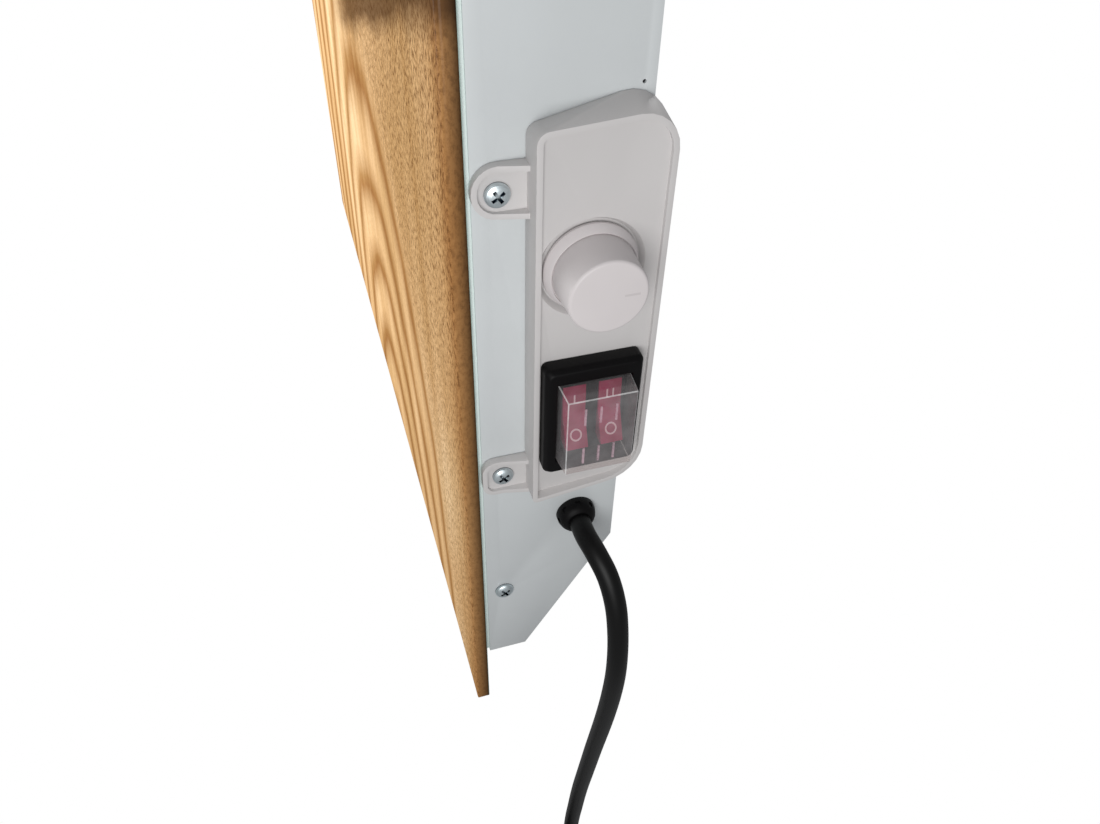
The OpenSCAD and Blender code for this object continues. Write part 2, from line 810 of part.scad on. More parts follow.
module knob() {
    skin = 2.4;
    round_r = 1;
    hub_d = 11;
    hub_x = stat_x + bush_l + box_wall + 0.6;
    r = knob_d / 2;
    base_r = r + knob_draft / 2;
    depth = knob_x - knob_base_x;
    line_w = 0.8;
    color("white") at_knob() difference() {
        translate([knob_base_x, 0, 0]) rotate([0, 90, 0]) rotate_extrude() polygon(concat(
            [[0, depth - skin], [base_r - skin, depth - skin], [base_r - skin, 0], [skirt_d / 2, 0]],
            [[skirt_d / 2, 1.4], [base_r + 0.5, skirt_h], [base_r + 0.3, skirt_h]],
            [[base_r + 0.3, skirt_h - 0.6], [base_r, skirt_h - 0.6]],
            [for (i = [0 : 5]) [r - round_r, depth - round_r] + round_r * [cos(18 * i), sin(18 * i)]],
            [[0, depth]]
        ));
        translate([knob_x - 0.4, r - 8, -line_w / 2]) cube([1, 5, line_w]);
        shaft_end_shape(shaft_end + 0.3, slide_gap);
    }
    color("white") at_knob() difference() {
        translate([hub_x, 0, 0]) rod_x(knob_x - 1 - hub_x, hub_d);
        shaft_end_shape(shaft_end + 0.3, slide_gap);
    }
}

module thermostat_shaft() {
    start = stat_x - 7;
    color("silver") at_knob() {
        translate([start, 0, 0]) rod_x(shaft_end - flat_l - start, shaft_d);
        translate([shaft_end - flat_l, 0, 0]) shaft_end_shape(flat_l, 0);
    }
}

module thermostat_body() {
    tab_h = 6.3;
    tab_l = 8;
    tab_t = 0.8;
    color("dimgray") at_knob() difference() {
        union() {
            translate([stat_x - stat_depth, -stat_w / 2, -stat_w / 2]) cube([stat_depth, stat_w, stat_w]);
            translate([stat_x - cut, 0, 0]) rod_x(bush_l + box_wall + cut, bush_d);
            for (y = stat_tabs)
                translate([stat_x - stat_depth - tab_l, y - tab_t / 2, stat_tab_z - tab_h / 2])
                    cube([tab_l + cut, tab_t, tab_h]);
        }
        translate([stat_x - 7.5, 0, 0]) rod_x(stat_depth + bush_l, shaft_d + 2 * slide_gap);
    }
}
stat_tabs = [-5.5, 5.5];
stat_tab_z = -10;
stat_tab_x = stat_x - stat_depth - 8;

module thermostat_nut() {
    nut_w = 14;
    color("silver") at_knob() translate([dish_x, 0, 0]) difference() {
        rotate([0, 90, 0]) cylinder(h = 2.4, d = nut_w / cos(30), $fn = 6);
        translate([-cut, 0, 0]) rod_x(2.4 + 2 * cut, bush_d + 2 * slide_gap);
    }
}

module at_switch() {
    at_side() translate([0, switch_y, switch_z]) children();
}

module switch_frame() {
    slope = 1.2;
    radii = [2.2, 2.2, 2.2, 2.2];
    color("black") at_switch() difference() {
        hull() {
            translate([face_x, 0, 0]) along_x(bezel_t - 2)
                polygon(rounded(box_points(bezel_w, bezel_h), radii));
            translate([bezel_x - 0.5, 0, 0]) along_x(0.5)
                polygon(rounded(box_points(bezel_w - 2 * slope, bezel_h - 2 * slope), radii));
        }
        translate([face_x - cut, 0, 0]) along_x(bezel_t + 2 * cut)
            square([cap_w + 2 * fit_gap, cap_h + 2 * fit_gap], center = true);
    }
}

module at_rockers() {
    for (side = [-1, 1]) translate([0, side * rocker_pitch / 2, 0]) children();
}

// Floor of the wells that hold the rockers and their lamps
well_floor = pivot_x - 6;

module switch_body() {
    rim_top = face_x + 4.4;
    color("black") at_switch() difference() {
        union() {
            translate([face_x - body_depth, 0, 0]) along_x(body_depth + cut)
                square([body_w, body_h], center = true);
            translate([face_x, 0, 0]) along_x(switch_flange_t) square([cap_w, cap_h], center = true);
            translate([face_x, 0, 0]) along_x(rim_top - face_x) square([body_w, body_h], center = true);
        }
        at_rockers() {
            translate([well_floor, 0, 0]) along_x(body_depth) square([well_w, well_l], center = true);
            translate([pivot_x, -well_w / 2 - 0.6, 0]) rod_y(well_w + 1.2, pivot_d + 2 * slide_gap);
        }
    }
}

module switch_terminals() {
    color("silver") at_switch() for (y = [-6.4, 6.4], z = [-10, 0, 10])
        translate([terminal_x, y - 0.4, z - 3.15]) cube([face_x - body_depth - terminal_x, 0.8, 6.3]);
}
terminal_x = face_x - body_depth - 8;

module neon_lamps() {
    lamp_d = 2.4;
    color("orange") at_switch() at_rockers()
        translate([well_floor + lamp_d / 2, 0, 4]) cylinder(h = 8, d = lamp_d);
}

// Rocker in its switched-on place: its upper end pressed in
module rocker() {
    color("crimson") translate([pivot_x, 0, 0]) rotate([0, -rocker_tilt, 0]) {
        translate([0, rocker_w / 2, 0]) rotate([90, 0, 0]) linear_extrude(rocker_w) polygon([
            [rocker_mid, 0], [rocker_end, rocker_l], [rocker_end - 2.6, rocker_l], [0, 9], [-2.4, 3],
            [-2.4, -3], [0, -9], [rocker_end - 2.6, -rocker_l], [rocker_end, -rocker_l]
        ]);
        translate([0, -well_w / 2 - 0.4, 0]) rod_y(well_w + 0.8, pivot_d);
    }
}

module rocker_left() {
    at_switch() translate([0, -rocker_pitch / 2, 0]) rocker();
}

module rocker_right() {
    at_switch() translate([0, rocker_pitch / 2, 0]) rocker();
}

module cap_block(grow, top_x) {
    radii = [2, 2, 2, 2];
    hull() {
        translate([cap_base_x, 0, 0]) along_x(bezel_x - cap_base_x)
            polygon(rounded(box_points(cap_w - 2 * grow, cap_h - 2 * grow), radii));
        translate([top_x - 0.5, 0, 0]) along_x(0.5)
            polygon(rounded(box_points(cap_top_w - 2 * grow, cap_top_h - 2 * grow), radii));
    }
}

module splash_cap() {
    color([0.9, 0.9, 0.9, 0.4]) at_switch() {
        difference() {
            cap_block(0, cap_x);
            translate([-cut, 0, 0]) cap_block(cap_wall, cap_x - cap_wall);
            translate([cap_base_x - cut, 0, 0]) along_x(2 * cut)
                square([cap_w - 2 * cap_wall, cap_h - 2 * cap_wall], center = true);
        }
        for (y = [-6.1, -0.6, 4.9], z = [-12, 6])
            translate([cap_x - 0.2, y - 0.4, z]) cube([0.7, 0.8, 7.2]);
    }
}

module at_gland() {
    at_side() translate([0, gland_y, gland_z]) children();
}

module cord_gland() {
    barrel = 10;
    r = gland_d / 2;
    color("black") at_gland() difference() {
        rotate([0, 90, 0]) rotate_extrude() polygon([
            [cord_d / 2 + slide_gap, -barrel], [r - 1 - slide_gap, -barrel], [r - 1 - slide_gap, 0],
            [r, 0], [r, 2.5], [r - 0.6, gland_x - 2], [r - 1.4, gland_x - 0.8], [r - 2.6, gland_x],
            [cord_d / 2 + slide_gap, gland_x]
        ]);
        for (turn = [0 : 45 : 315])
            rotate([turn, 0, 0]) translate([2, r - 0.7, -1]) cube([gland_x, 2, 2]);
    }
}

module gland_nut() {
    nut_w = gland_d + 4;
    color("black") at_gland() translate([-sheet_t - 4, 0, 0]) difference() {
        rotate([0, 90, 0]) cylinder(h = 4, d = nut_w / cos(30), $fn = 6);
        translate([-cut, 0, 0]) rod_x(4 + 2 * cut, gland_d - 2);
    }
}

module cord_inner_end() {
    color("black") at_gland() translate([sheath_end, 0, 0]) rod_x(gland_x - sheath_end, cord_d);
}

module cord_cores() {
    front = block_x + block_l;
    color("saddlebrown") at_side() for (step = [-1, 0, 1]) {
        start = [sheath_end, gland_y + (step == 0 ? 2 : -1), gland_z + 2 * step];
        end = [front, block_wire_y, gland_z + core_pitch * step];
        route = [
            start, start - [3, 0, 0], start * 0.6 + end * 0.4, start * 0.3 + end * 0.7, end + [3, 0, 0], end
        ];
        tube(route, core_d, core_sides, [0, 1, 0]);
    }
}

module terminal_block() {
    back = casing_depth - sheet_t;
    color("ivory") at_side() difference() {
        translate([block_x, block_y, gland_z - block_h / 2]) cube([block_l, back - block_y, block_h]);
        for (step = [-1, 0, 1], x = [0.25, 0.75])
            translate([block_x + x * block_l, block_y - cut, gland_z + core_pitch * step]) rod_y(2 + cut, 4);
    }
}

module earth_screw() {
    back = casing_depth - sheet_t;
    color("silver") at_side() translate([earth_x, 0, earth_z]) {
        translate([0, back - 1, 0]) rod_y(1, 9);
        translate([0, back - 3.4, 0]) rod_y(2.6, 7);
        translate([2, back - 3.2, -1.6]) cube([8, 3.2, 3.2]);
    }
}

module thermal_cutout() {
    seat = reflector_t + board_t + strap_t;
    color("black") at_side() translate([cutout_x, seat, cutout_z]) {
        rod_y(8, 16);
        for (side = [-1, 1]) translate([side * 4 - 2, 7, -0.8]) cube([4, 4.5, 1.6]);
    }
}
cutout_back = reflector_t + board_t + strap_t + 11.5;

module wire_live() {
    start = [block_x, block_wire_y, gland_z + core_pitch];
    end = [terminal_x, switch_y + 6.4, switch_z + 10];
    color("saddlebrown") at_side() tube([
        start, start - [8, 0, 0], start + [-14, 0, 6], start + [-14, 0, 30], start + [-14, 0, 54],
        [start.x - 8, end.y, end.z - 4], [start.x + 4, end.y, end.z], [start.x + 30, end.y, end.z],
        end - [8, 0, 0], end
    ], core_d, core_sides, [0, 1, 0]);
}

module wire_switched() {
    start = [terminal_x, switch_y - 6.4, switch_z + 10];
    end = [stat_tab_x, knob_y + stat_tabs[0], knob_z + stat_tab_z];
    color("saddlebrown") at_side() tube([
        start, start - [7, 0, 0], start + [-13, 0, 4], (start + end) / 2 - [17, 0, 0],
        end + [-13, 0, -4], end - [7, 0, 0], end
    ], core_d, core_sides, [0, 1, 0]);
}

module wire_earth() {
    start = [block_x, block_wire_y, gland_z];
    end = [earth_x + 10, casing_depth - sheet_t - 1.6, earth_z];
    color("yellowgreen") at_side() tube([
        start, start - [8, 0, 0], start + [-16, 2, 3], start + [-28, 5, 10], end + [10, -1.4, -6],
        end + [5, 0, -1], end + [3, 0, 0], end
    ], core_d, core_sides, [0, 1, 0]);
}

module heater_lead_live() {
    start = [stat_tab_x, knob_y + stat_tabs[1], knob_z + stat_tab_z];
    inlet = [cutout_x + 4, cutout_back, cutout_z];
    outlet = [cutout_x - 4, cutout_back, cutout_z];
    color("saddlebrown") at_side() {
        tube([
            start, start - [7, 0, 0], start + [-18, 0, 4], start + [-30, 0, 24], inlet + [0, 16.5, -60],
            inlet + [0, 16.5, -30], inlet + [0, 15.5, -12], inlet + [0, 8, -4], inlet + [0, 4, 0], inlet
        ], core_d, core_sides, [0, 0, 1]);
        tube([
            outlet, outlet + [0, 4, 0], outlet + [0, 9, 6], outlet + [4, 7.5, 20], outlet + [16, 1.5, 32],
            [lead_x - 6, 20, lead_z], [lead_x - 1, 15, lead_z], [lead_x, 8, lead_z], [lead_x, 0, lead_z]
        ], core_d, core_sides, [0, 0, 1]);
    }
}

module heater_lead_neutral() {
    start = [block_x, block_wire_y, gland_z - core_pitch];
    end_x = -2 * side_x - lead_x;
    color("royalblue") at_side() tube([
        start, start - [8, 0, 0], start + [-20, -3, 3], start + [-50, -12, 9], start + [-110, -18, 15],
        [start.x - 210, 22, neutral_z], [end_x + 30, 22, neutral_z], [end_x + 8, 21, neutral_z],
        [end_x + 1, 18, neutral_z], [end_x, 14, neutral_z], [end_x, 8, neutral_z], [end_x, 0, neutral_z]
    ], core_d, core_sides, [0, 0, 1]);
}

module supply_cord() {
    color("black") at_side() tube(cord_route, cord_d, cord_sides, [0, 0, 1]);
}

// Radius of the coil after t turns
function winding_r(t) = coil_r - coil_step * min(t, coil_turns - t);

// Sideways climb into the second layer, in the half turn where the spiral reverses
function climb(t) =
    let (s = min(max(2 * (t - coil_turns / 2) + 0.5, 0), 1))
    coil_layer * s * s * (3 - 2 * s);

function winding(t) = [
    cord_x + climb(t), coil_y + winding_r(t) * cos(360 * t), coil_z - winding_r(t) * sin(360 * t)
];

coil_end = [cord_x + coil_layer, cord_y, coil_z];
coil_path = concat(
    [[cord_x, cord_y, coil_top], [cord_x, cord_y, coil_z + cord_d]],
    [for (i = [0 : ring_steps * coil_turns]) winding(i / ring_steps)],
    [coil_end - [0, 0, cord_d], coil_end - [0, 0, tail_l / 2], coil_end - [0, 0, tail_l]]
);

// Least gap between turns, and the coil's length along its middle line
coil_gap = min([
    for (i = [0 : ring_steps * coil_turns], j = [i + ring_steps / 2 : ring_steps * coil_turns])
        if (j > i) norm(winding(i / ring_steps) - winding(j / ring_steps))
]) - cord_d;
function path_length(p, i = 1) = i == len(p) ? 0 : norm(p[i] - p[i - 1]) + path_length(p, i + 1);
echo(coil_gap = coil_gap, coil_length = path_length(coil_path), free_length = path_length(cord_route));

module cord_coil() {
    color("black") at_side() tube(coil_path, cord_d, coil_sides, [1, 0, 0]);
}

// Band round the turns at the coil's front
module cord_tie() {
    gap = 0.6;
    r_out = winding_r(0.5) + cord_d / 2 + gap;
    r_in = winding_r((coil_turns - 1) / 2) - cord_d / 2 - gap;
    d_in = coil_layer + cord_d + 2 * gap;
    middle_y = coil_y - (r_in + r_out) / 2;
    color("black") at_side() translate([cord_x + coil_layer / 2, middle_y, coil_z - tie_w / 2])
        linear_extrude(tie_w) difference() {
            square([d_in + 2 * tie_t, r_out - r_in + 2 * tie_t], center = true);
            square([d_in, r_out - r_in], center = true);
        }
}

module at_plug() {
    at_side() translate([coil_end.x, coil_end.y, plug_face]) children();
}

// Depth of the pins inside the plug's body
pin_bore = 14;

module plug_body() {
    r = plug_d / 2;
    neck_r = 7.5;
    top = plug_l + relief_l;
    color("black") at_plug() difference() {
        rotate_extrude() polygon([
            [0, 0], [r - 1, 0], [r, 1], [r, plug_l * 0.55], [r - 4, plug_l * 0.8], [neck_r, plug_l],
            [5, top], [0, top]
        ]);
        for (side = [-1, 1]) {
            translate([side * pin_pitch / 2, 0, -cut])
                cylinder(h = pin_bore + cut, d = pin_d + 2 * slide_gap);
            translate([-3, side * (r + 1) - 2.5, -cut]) cube([6, 5, plug_l * 0.4]);
        }
    }
}

module plug_pins() {
    color("silver") at_plug() for (side = [-1, 1])
        translate([side * pin_pitch / 2, 0, -pin_l]) {
            translate([0, 0, 1]) cylinder(h = pin_l + pin_bore - 1, d = pin_d);
            cylinder(h = 1, d1 = pin_d - 1.6, d2 = pin_d);
        }
}

module plug_earth() {
    r = plug_d / 2;
    color("silver") at_plug() for (side = [-1, 1])
        translate([-2.5, side * (r - 1) - 0.5, 0.5]) cube([5, 1, plug_l * 0.4 - 2]);
}

module towel_rail(z) {
    color("silver") translate([-towel_rail_l / 2, post_front, z]) difference() {
        rod_x(towel_rail_l, towel_rail_d);
        translate([-cut, 0, 0]) rod_x(towel_rail_l + 2 * cut, towel_rail_d - 2 * towel_rail_wall);
    }
}

module towel_rail_upper() {
    towel_rail(towel_rail_z);
}

module towel_rail_lower() {
    towel_rail(towel_rail_z - towel_rail_pitch);
}

module rail_end_caps() {
    plug_d_in = towel_rail_d - 2 * towel_rail_wall - 2 * slide_gap;
    color("silver") for (drop = [0, towel_rail_pitch], side = [0, 1])
        mirror([side, 0, 0]) translate([towel_rail_l / 2, post_front, towel_rail_z - drop]) {
            rotate([0, 90, 0]) rotate_extrude() polygon([
                [0, 0], [towel_rail_d / 2, 0], [towel_rail_d / 2, cap_disc_t - 1],
                [towel_rail_d / 2 - 1, cap_disc_t], [0, cap_disc_t]
            ]);
            translate([-cap_plug_l, 0, 0]) rod_x(cap_plug_l + cut, plug_d_in);
        }
}

module rail_posts() {
    rear = glass_y - gasket_t;
    color("silver") difference() {
        at_posts() translate([0, post_front, 0]) rod_y(rear - post_front, post_d);
        at_posts() translate([-post_d, post_front, 0]) rod_x(2 * post_d, towel_rail_d);
        at_posts() translate([0, rear - bolt_depth, 0]) rod_y(bolt_depth + cut, post_bolt_d + 2 * slide_gap);
    }
}

module rail_gaskets() {
    color("black") for (y = [glass_y - gasket_t, glass_back])
        at_posts() translate([0, y, 0]) difference() {
            rod_y(gasket_t, gasket_d);
            translate([0, -cut, 0]) rod_y(gasket_t + 2 * cut, post_bolt_d + 2 * fit_gap);
        }
}

module rail_sleeves() {
    color("white") at_posts() translate([0, glass_y, 0]) difference() {
        rod_y(glass_t, glass_bore_d - 2 * slide_gap);
        translate([0, -cut, 0]) rod_y(glass_t + 2 * cut, post_bolt_d + 2 * slide_gap);
    }
}

module rail_washers() {
    color("silver") at_posts() translate([0, glass_back + gasket_t, 0]) difference() {
        rod_y(washer_t, washer_d);
        translate([0, -cut, 0]) rod_y(washer_t + 2 * cut, post_bolt_d + 2 * slide_gap);
    }
}

module rail_bolts() {
    head_y = glass_back + gasket_t + washer_t;
    tip_y = glass_y - gasket_t - bolt_depth + 2;
    color("silver") at_posts() {
        translate([0, tip_y, 0]) rod_y(head_y - tip_y, post_bolt_d);
        translate([0, head_y, 0]) rotate([-90, 0, 0]) cylinder(h = 5.3, d = 13 / cos(30), $fn = 6);
    }
}

glass_panel();
glass_tape();
frame_rail_right();
frame_rail_left();
heating_mat();
busbars();
reflector_sheet();
insulation_board();
board_straps();
rear_casing();
side_plate_right();
side_plate_left();
casing_rivets();
wall_bracket();
wall_spacers();
side_screws();
lug_screws();
control_housing();
knob();
thermostat_shaft();
thermostat_body();
thermostat_nut();
switch_frame();
switch_body();
switch_terminals();
neon_lamps();
rocker_left();
rocker_right();
splash_cap();
cord_gland();
gland_nut();
cord_inner_end();
cord_cores();
terminal_block();
earth_screw();
thermal_cutout();
wire_live();
wire_switched();
wire_earth();
heater_lead_live();
heater_lead_neutral();
supply_cord();
cord_coil();
cord_tie();
plug_body();
plug_pins();
plug_earth();
towel_rail_upper();
towel_rail_lower();
rail_end_caps();
rail_posts();
rail_gaskets();
rail_sleeves();
rail_washers();
rail_bolts();
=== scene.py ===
# %% [markdown]
# # A towel warmer with a printed glass front
# This lesson takes the finished CAD model of an electric towel warmer and gives it its looks. The model
# already has the right sizes, so nothing is scaled or moved here. We set up the camera, lay the cord,
# soften the edges of moulded and folded pieces, turn the knob, build the clear cap, and write one
# procedural material for each real material.

# %% Load the fixed frame
import json
import math
import bmesh
import bpy
from mathutils import Matrix, Vector


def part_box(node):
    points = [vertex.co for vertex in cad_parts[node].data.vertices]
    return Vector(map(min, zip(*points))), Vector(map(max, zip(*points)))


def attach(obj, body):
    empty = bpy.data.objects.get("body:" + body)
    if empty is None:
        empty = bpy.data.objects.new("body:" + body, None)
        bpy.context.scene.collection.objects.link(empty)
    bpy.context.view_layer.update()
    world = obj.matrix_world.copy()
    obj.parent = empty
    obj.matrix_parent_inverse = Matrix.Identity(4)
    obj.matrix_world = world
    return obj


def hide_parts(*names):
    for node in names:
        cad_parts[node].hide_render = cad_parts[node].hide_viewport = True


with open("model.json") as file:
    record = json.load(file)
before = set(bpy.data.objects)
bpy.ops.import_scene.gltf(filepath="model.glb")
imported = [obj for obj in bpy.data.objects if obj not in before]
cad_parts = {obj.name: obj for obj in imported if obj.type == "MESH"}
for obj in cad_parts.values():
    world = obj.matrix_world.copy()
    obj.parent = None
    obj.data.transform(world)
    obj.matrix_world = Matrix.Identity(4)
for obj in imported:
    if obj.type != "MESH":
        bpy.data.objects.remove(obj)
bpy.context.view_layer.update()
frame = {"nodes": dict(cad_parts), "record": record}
print("CAD nodes:", len(frame["nodes"]))

# %% [markdown]
# ## Places
# Everything on the right side of the warmer is measured from three planes: the side plate's outer face,
# the casing's front edge and the casing's bottom. `at_side` turns such millimetres into metres of the
# shared frame, where the wall is y = 0 and the room is towards -y.

# %% Name the planes and read them from the CAD boxes
plate_low, plate_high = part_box("side_plate_right")
SIDE = Vector((plate_high.x, plate_low.y, plate_low.z))
glass_low, glass_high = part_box("glass_panel")
MM = 1000


def at_side(x, y, z):
    """A point in metres, from millimetres out of the plate, behind its front edge and above its bottom."""
    return SIDE + Vector((x, y, z)) / MM


def middle_of(node):
    """The middle of a CAD node's box, in metres."""
    low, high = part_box(node)
    return (low + high) / 2


print("side plate corner:", [round(v, 4) for v in SIDE])

# %% [markdown]
# ## Camera
# The picture is taken from close by, above and a little in front of the side plate, looking down at it.
# The lens is 900 pixels long on a picture 1100 pixels wide.

# %% Place the camera
PICTURE_W = 1100
LENS_PX = 900
camera_data = bpy.data.cameras.new("Camera")
camera_data.sensor_width = 36
camera_data.lens = 36 * LENS_PX / PICTURE_W
camera_data.clip_start = 0.01
camera = bpy.data.objects.new("Camera", camera_data)
bpy.context.collection.objects.link(camera)
ahead = Vector((-0.6980, 0.2301, -0.6781)).normalized()
above = Vector((-0.6526, 0.1855, 0.7346))
right = ahead.cross(above).normalized()
above = right.cross(ahead)
turn = Matrix((right, above, -ahead)).transposed()
camera.matrix_world = Matrix.Translation(at_side(229.0, -49.4, 367.5)) @ turn.to_4x4()
bpy.context.scene.camera = camera
print("lens:", round(camera_data.lens, 2), "mm")

# %% [markdown]
# ## Cord
# The cord leaves the gland, bends down and hangs. The free stretch is a list of points, in millimetres
# from the side plate. `round_tube` draws a smooth curve through points and turns it into a mesh, so that
# the cord's box can be measured like any other piece's.

# %% Lay the free stretch
CORD_D = 0.0088
cord_route = [
    (6.5, 38, 87), (14, 38, 87), (22.5, 39.5, 85.5), (30.5, 42, 79.5), (37, 43.5, 69.5), (41, 44, 57),
    (43.5, 44, 43), (44, 44, 28), (42.5, 44, 10), (40, 44, -8), (37, 44, -26), (33.5, 44, -45),
    (30, 44, -64), (26.5, 44, -84), (23, 44, -104), (19.5, 44, -124), (16.5, 44, -144),
    (14, 44, -164), (11.5, 44, -184), (10, 44, -204), (10, 44, -218), (10, 44, -231),
]


def round_tube(name, points, diameter, body):
    """A round mesh tube that passes smoothly through points, in metres."""
    data = bpy.data.curves.new(name + "_line", "CURVE")
    data.dimensions = "3D"
    data.bevel_depth = diameter / 2
    data.bevel_resolution = 6
    data.resolution_u = 5
    data.use_fill_caps = True
    spline = data.splines.new("BEZIER")
    spline.bezier_points.add(len(points) - 1)
    for i, (knot, co) in enumerate(zip(spline.bezier_points, points)):
        before = points[max(i - 1, 0)]
        after = points[min(i + 1, len(points) - 1)]
        along = (after - before).normalized()
        knot.co = co
        knot.handle_left_type = knot.handle_right_type = "FREE"
        knot.handle_left = co - along * (co - before).length / 3
        knot.handle_right = co + along * (after - co).length / 3
    line = bpy.data.objects.new(name + "_line", data)
    mesh = bpy.data.meshes.new_from_object(line)
    bpy.data.objects.remove(line)
    bpy.data.curves.remove(data)
    mesh.shade_smooth()
    tube = bpy.data.objects.new(name, mesh)
    bpy.context.collection.objects.link(tube)
    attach(tube, body)
    return tube


def length_of(points):
    """The length of the straight steps between points, in metres."""
    return sum((b - a).length for a, b in zip(points, points[1:]))


# %% [markdown]
# The cord's spare length is a tied coil below the picture. The coil is a rule and not a list: it spirals
# in for half its turns, climbs one layer sideways and spirals out again. The free stretch and the coil
# are one tube, and the plug hangs from its end.

# %% Wind the coil and make the cord
COIL_R = 58
COIL_STEP = 9.4
COIL_TURNS = 4
COIL_LAYER = 9.4
RING_STEPS = 24
TAIL = 36
CORD_MM = CORD_D * MM
cord_x, cord_y, coil_top = cord_route[-1]
coil_y = cord_y - COIL_R
coil_z = coil_top - 2 * CORD_MM


def winding(t):
    """The coil's middle line after t turns, in millimetres from the side plate."""
    r = COIL_R - COIL_STEP * min(t, COIL_TURNS - t)
    s = min(max(2 * (t - COIL_TURNS / 2) + 0.5, 0), 1)
    climb = COIL_LAYER * s * s * (3 - 2 * s)
    a = math.tau * t
    return (cord_x + climb, coil_y + r * math.cos(a), coil_z - r * math.sin(a))


coil_route = [(cord_x, cord_y, coil_z + CORD_MM)]
coil_route += [winding(i / RING_STEPS) for i in range(RING_STEPS * COIL_TURNS + 1)]
coil_route += [(cord_x + COIL_LAYER, cord_y, coil_z - drop) for drop in (CORD_MM, TAIL / 2, TAIL)]
free_points = [at_side(*p) for p in cord_route]
coil_points = [at_side(*p) for p in coil_route]
cord_points = free_points + coil_points
cord = round_tube("supply_lead", cord_points, CORD_D, "panel")
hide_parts("supply_cord", "cord_coil")
print("cord:", round(length_of(cord_points), 3), "m long")
print("free stretch:", round(length_of(free_points), 3), "m")

# %% [markdown]
# ## Shapes
# The CAD solids have sharp edges. A moulded or folded piece never does, so `softened` copies a node's
# mesh, merges its flat faces and rounds every sharp edge. The width of the rounding is given for each
# piece, in metres.


# %% Round the edges of a CAD node
def make_object(name, bm, body):
    """Turn a bmesh into an object that rides on a body."""
    bmesh.ops.recalc_face_normals(bm, faces=bm.faces)
    mesh = bpy.data.meshes.new(name)
    bm.to_mesh(mesh)
    bm.free()
    piece = bpy.data.objects.new(name, mesh)
    bpy.context.collection.objects.link(piece)
    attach(piece, body)
    return piece


SMOOTH_BELOW = math.radians(40)
ROUND_ABOVE = math.radians(30)
SAME_PLANE = math.radians(1)


def smooth(piece):
    """Smooth shading everywhere but across edges sharper than SMOOTH_BELOW."""
    piece.data.shade_smooth()
    bm = bmesh.new()
    bm.from_mesh(piece.data)
    for edge in bm.edges:
        if edge.is_manifold:
            edge.smooth = edge.calc_face_angle(0) < SMOOTH_BELOW
    bm.to_mesh(piece.data)
    bm.free()


def softened(node, width, body):
    """A copy of a CAD node whose sharp edges are rounded by width, in metres."""
    bm = bmesh.new()
    bm.from_mesh(frame["nodes"][node].data)
    bmesh.ops.remove_doubles(bm, verts=bm.verts, dist=1e-6)
    bmesh.ops.dissolve_limit(bm, angle_limit=SAME_PLANE, verts=bm.verts, edges=bm.edges)
    sharp = [e for e in bm.edges if e.is_manifold and e.calc_face_angle(0) > ROUND_ABOVE]
    bmesh.ops.bevel(bm, geom=sharp, offset=width, segments=3, profile=0.5, affect="EDGES",
                    clamp_overlap=True, material=-1)
    bmesh.ops.triangulate(bm, faces=[f for f in bm.faces if len(f.verts) > 4])
    piece = make_object(node + "_soft", bm, body)
    smooth(piece)
    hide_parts(node)
    return piece


slots = {s["node"]: s["material_slot"] for s in frame["record"]["subparts"]}
soft_pieces = {}
for node, width, body in [
    ("control_housing", 0.0004, "panel"), ("switch_frame", 0.0005, "panel"),
    ("rocker_left", 0.0005, "rocker_left_body"), ("rocker_right", 0.0005, "rocker_right_body"),
    ("switch_body", 0.0003, "panel"), ("side_plate_right", 0.0003, "panel"),
    ("side_plate_left", 0.0003, "panel"), ("rear_casing", 0.0004, "panel"),
    ("cord_gland", 0.0003, "panel"), ("wall_bracket", 0.0005, "panel"),
]:
    soft_pieces[node] = softened(node, width, body)
    print(node, len(soft_pieces[node].data.polygons), "faces")

# %% [markdown]
# Smooth shading bends the light over a large flat face with many corners. The casing's back is such a
# face, so the casing is shaded flat. Its rounded edges are too narrow for that to show.

# %% Shade the casing flat
soft_pieces["rear_casing"].data.shade_flat()
print("shaded flat: rear_casing")

# %% [markdown]
# The knob is a round piece, and a CAD mesh of it has flats. `turned` spins an outline instead: a list of
# radii and heights that runs from the hollow inside over the skirt and the barrel to the middle of the
# face.


# %% Turn the knob
def turned(name, outline, start, axis, body, steps=96):
    """Spin (radius, height) points, in millimetres, round the axis through start, in metres."""
    bm = bmesh.new()
    spin = Vector((0, 0, 1)).rotation_difference(Vector(axis)).to_matrix().to_4x4()
    verts = [bm.verts.new((r / MM, 0, h / MM)) for r, h in outline]
    edges = [bm.edges.new(pair) for pair in zip(verts, verts[1:])]
    bmesh.ops.spin(bm, geom=verts + edges, cent=(0, 0, 0), axis=(0, 0, 1), angle=math.tau,
                   steps=steps, use_merge=True)
    bmesh.ops.remove_doubles(bm, verts=bm.verts, dist=1e-7)
    bmesh.ops.transform(bm, matrix=Matrix.Translation(start) @ spin, verts=bm.verts)
    piece = make_object(name, bm, body)
    smooth(piece)
    return piece


def arc(r, h, radius, first, last, steps):
    """Points of an arc round (r, h) from one angle to another, in degrees."""
    angles = [math.radians(first + (last - first) * i / steps) for i in range(steps + 1)]
    return [(r + radius * math.cos(a), h + radius * math.sin(a)) for a in angles]


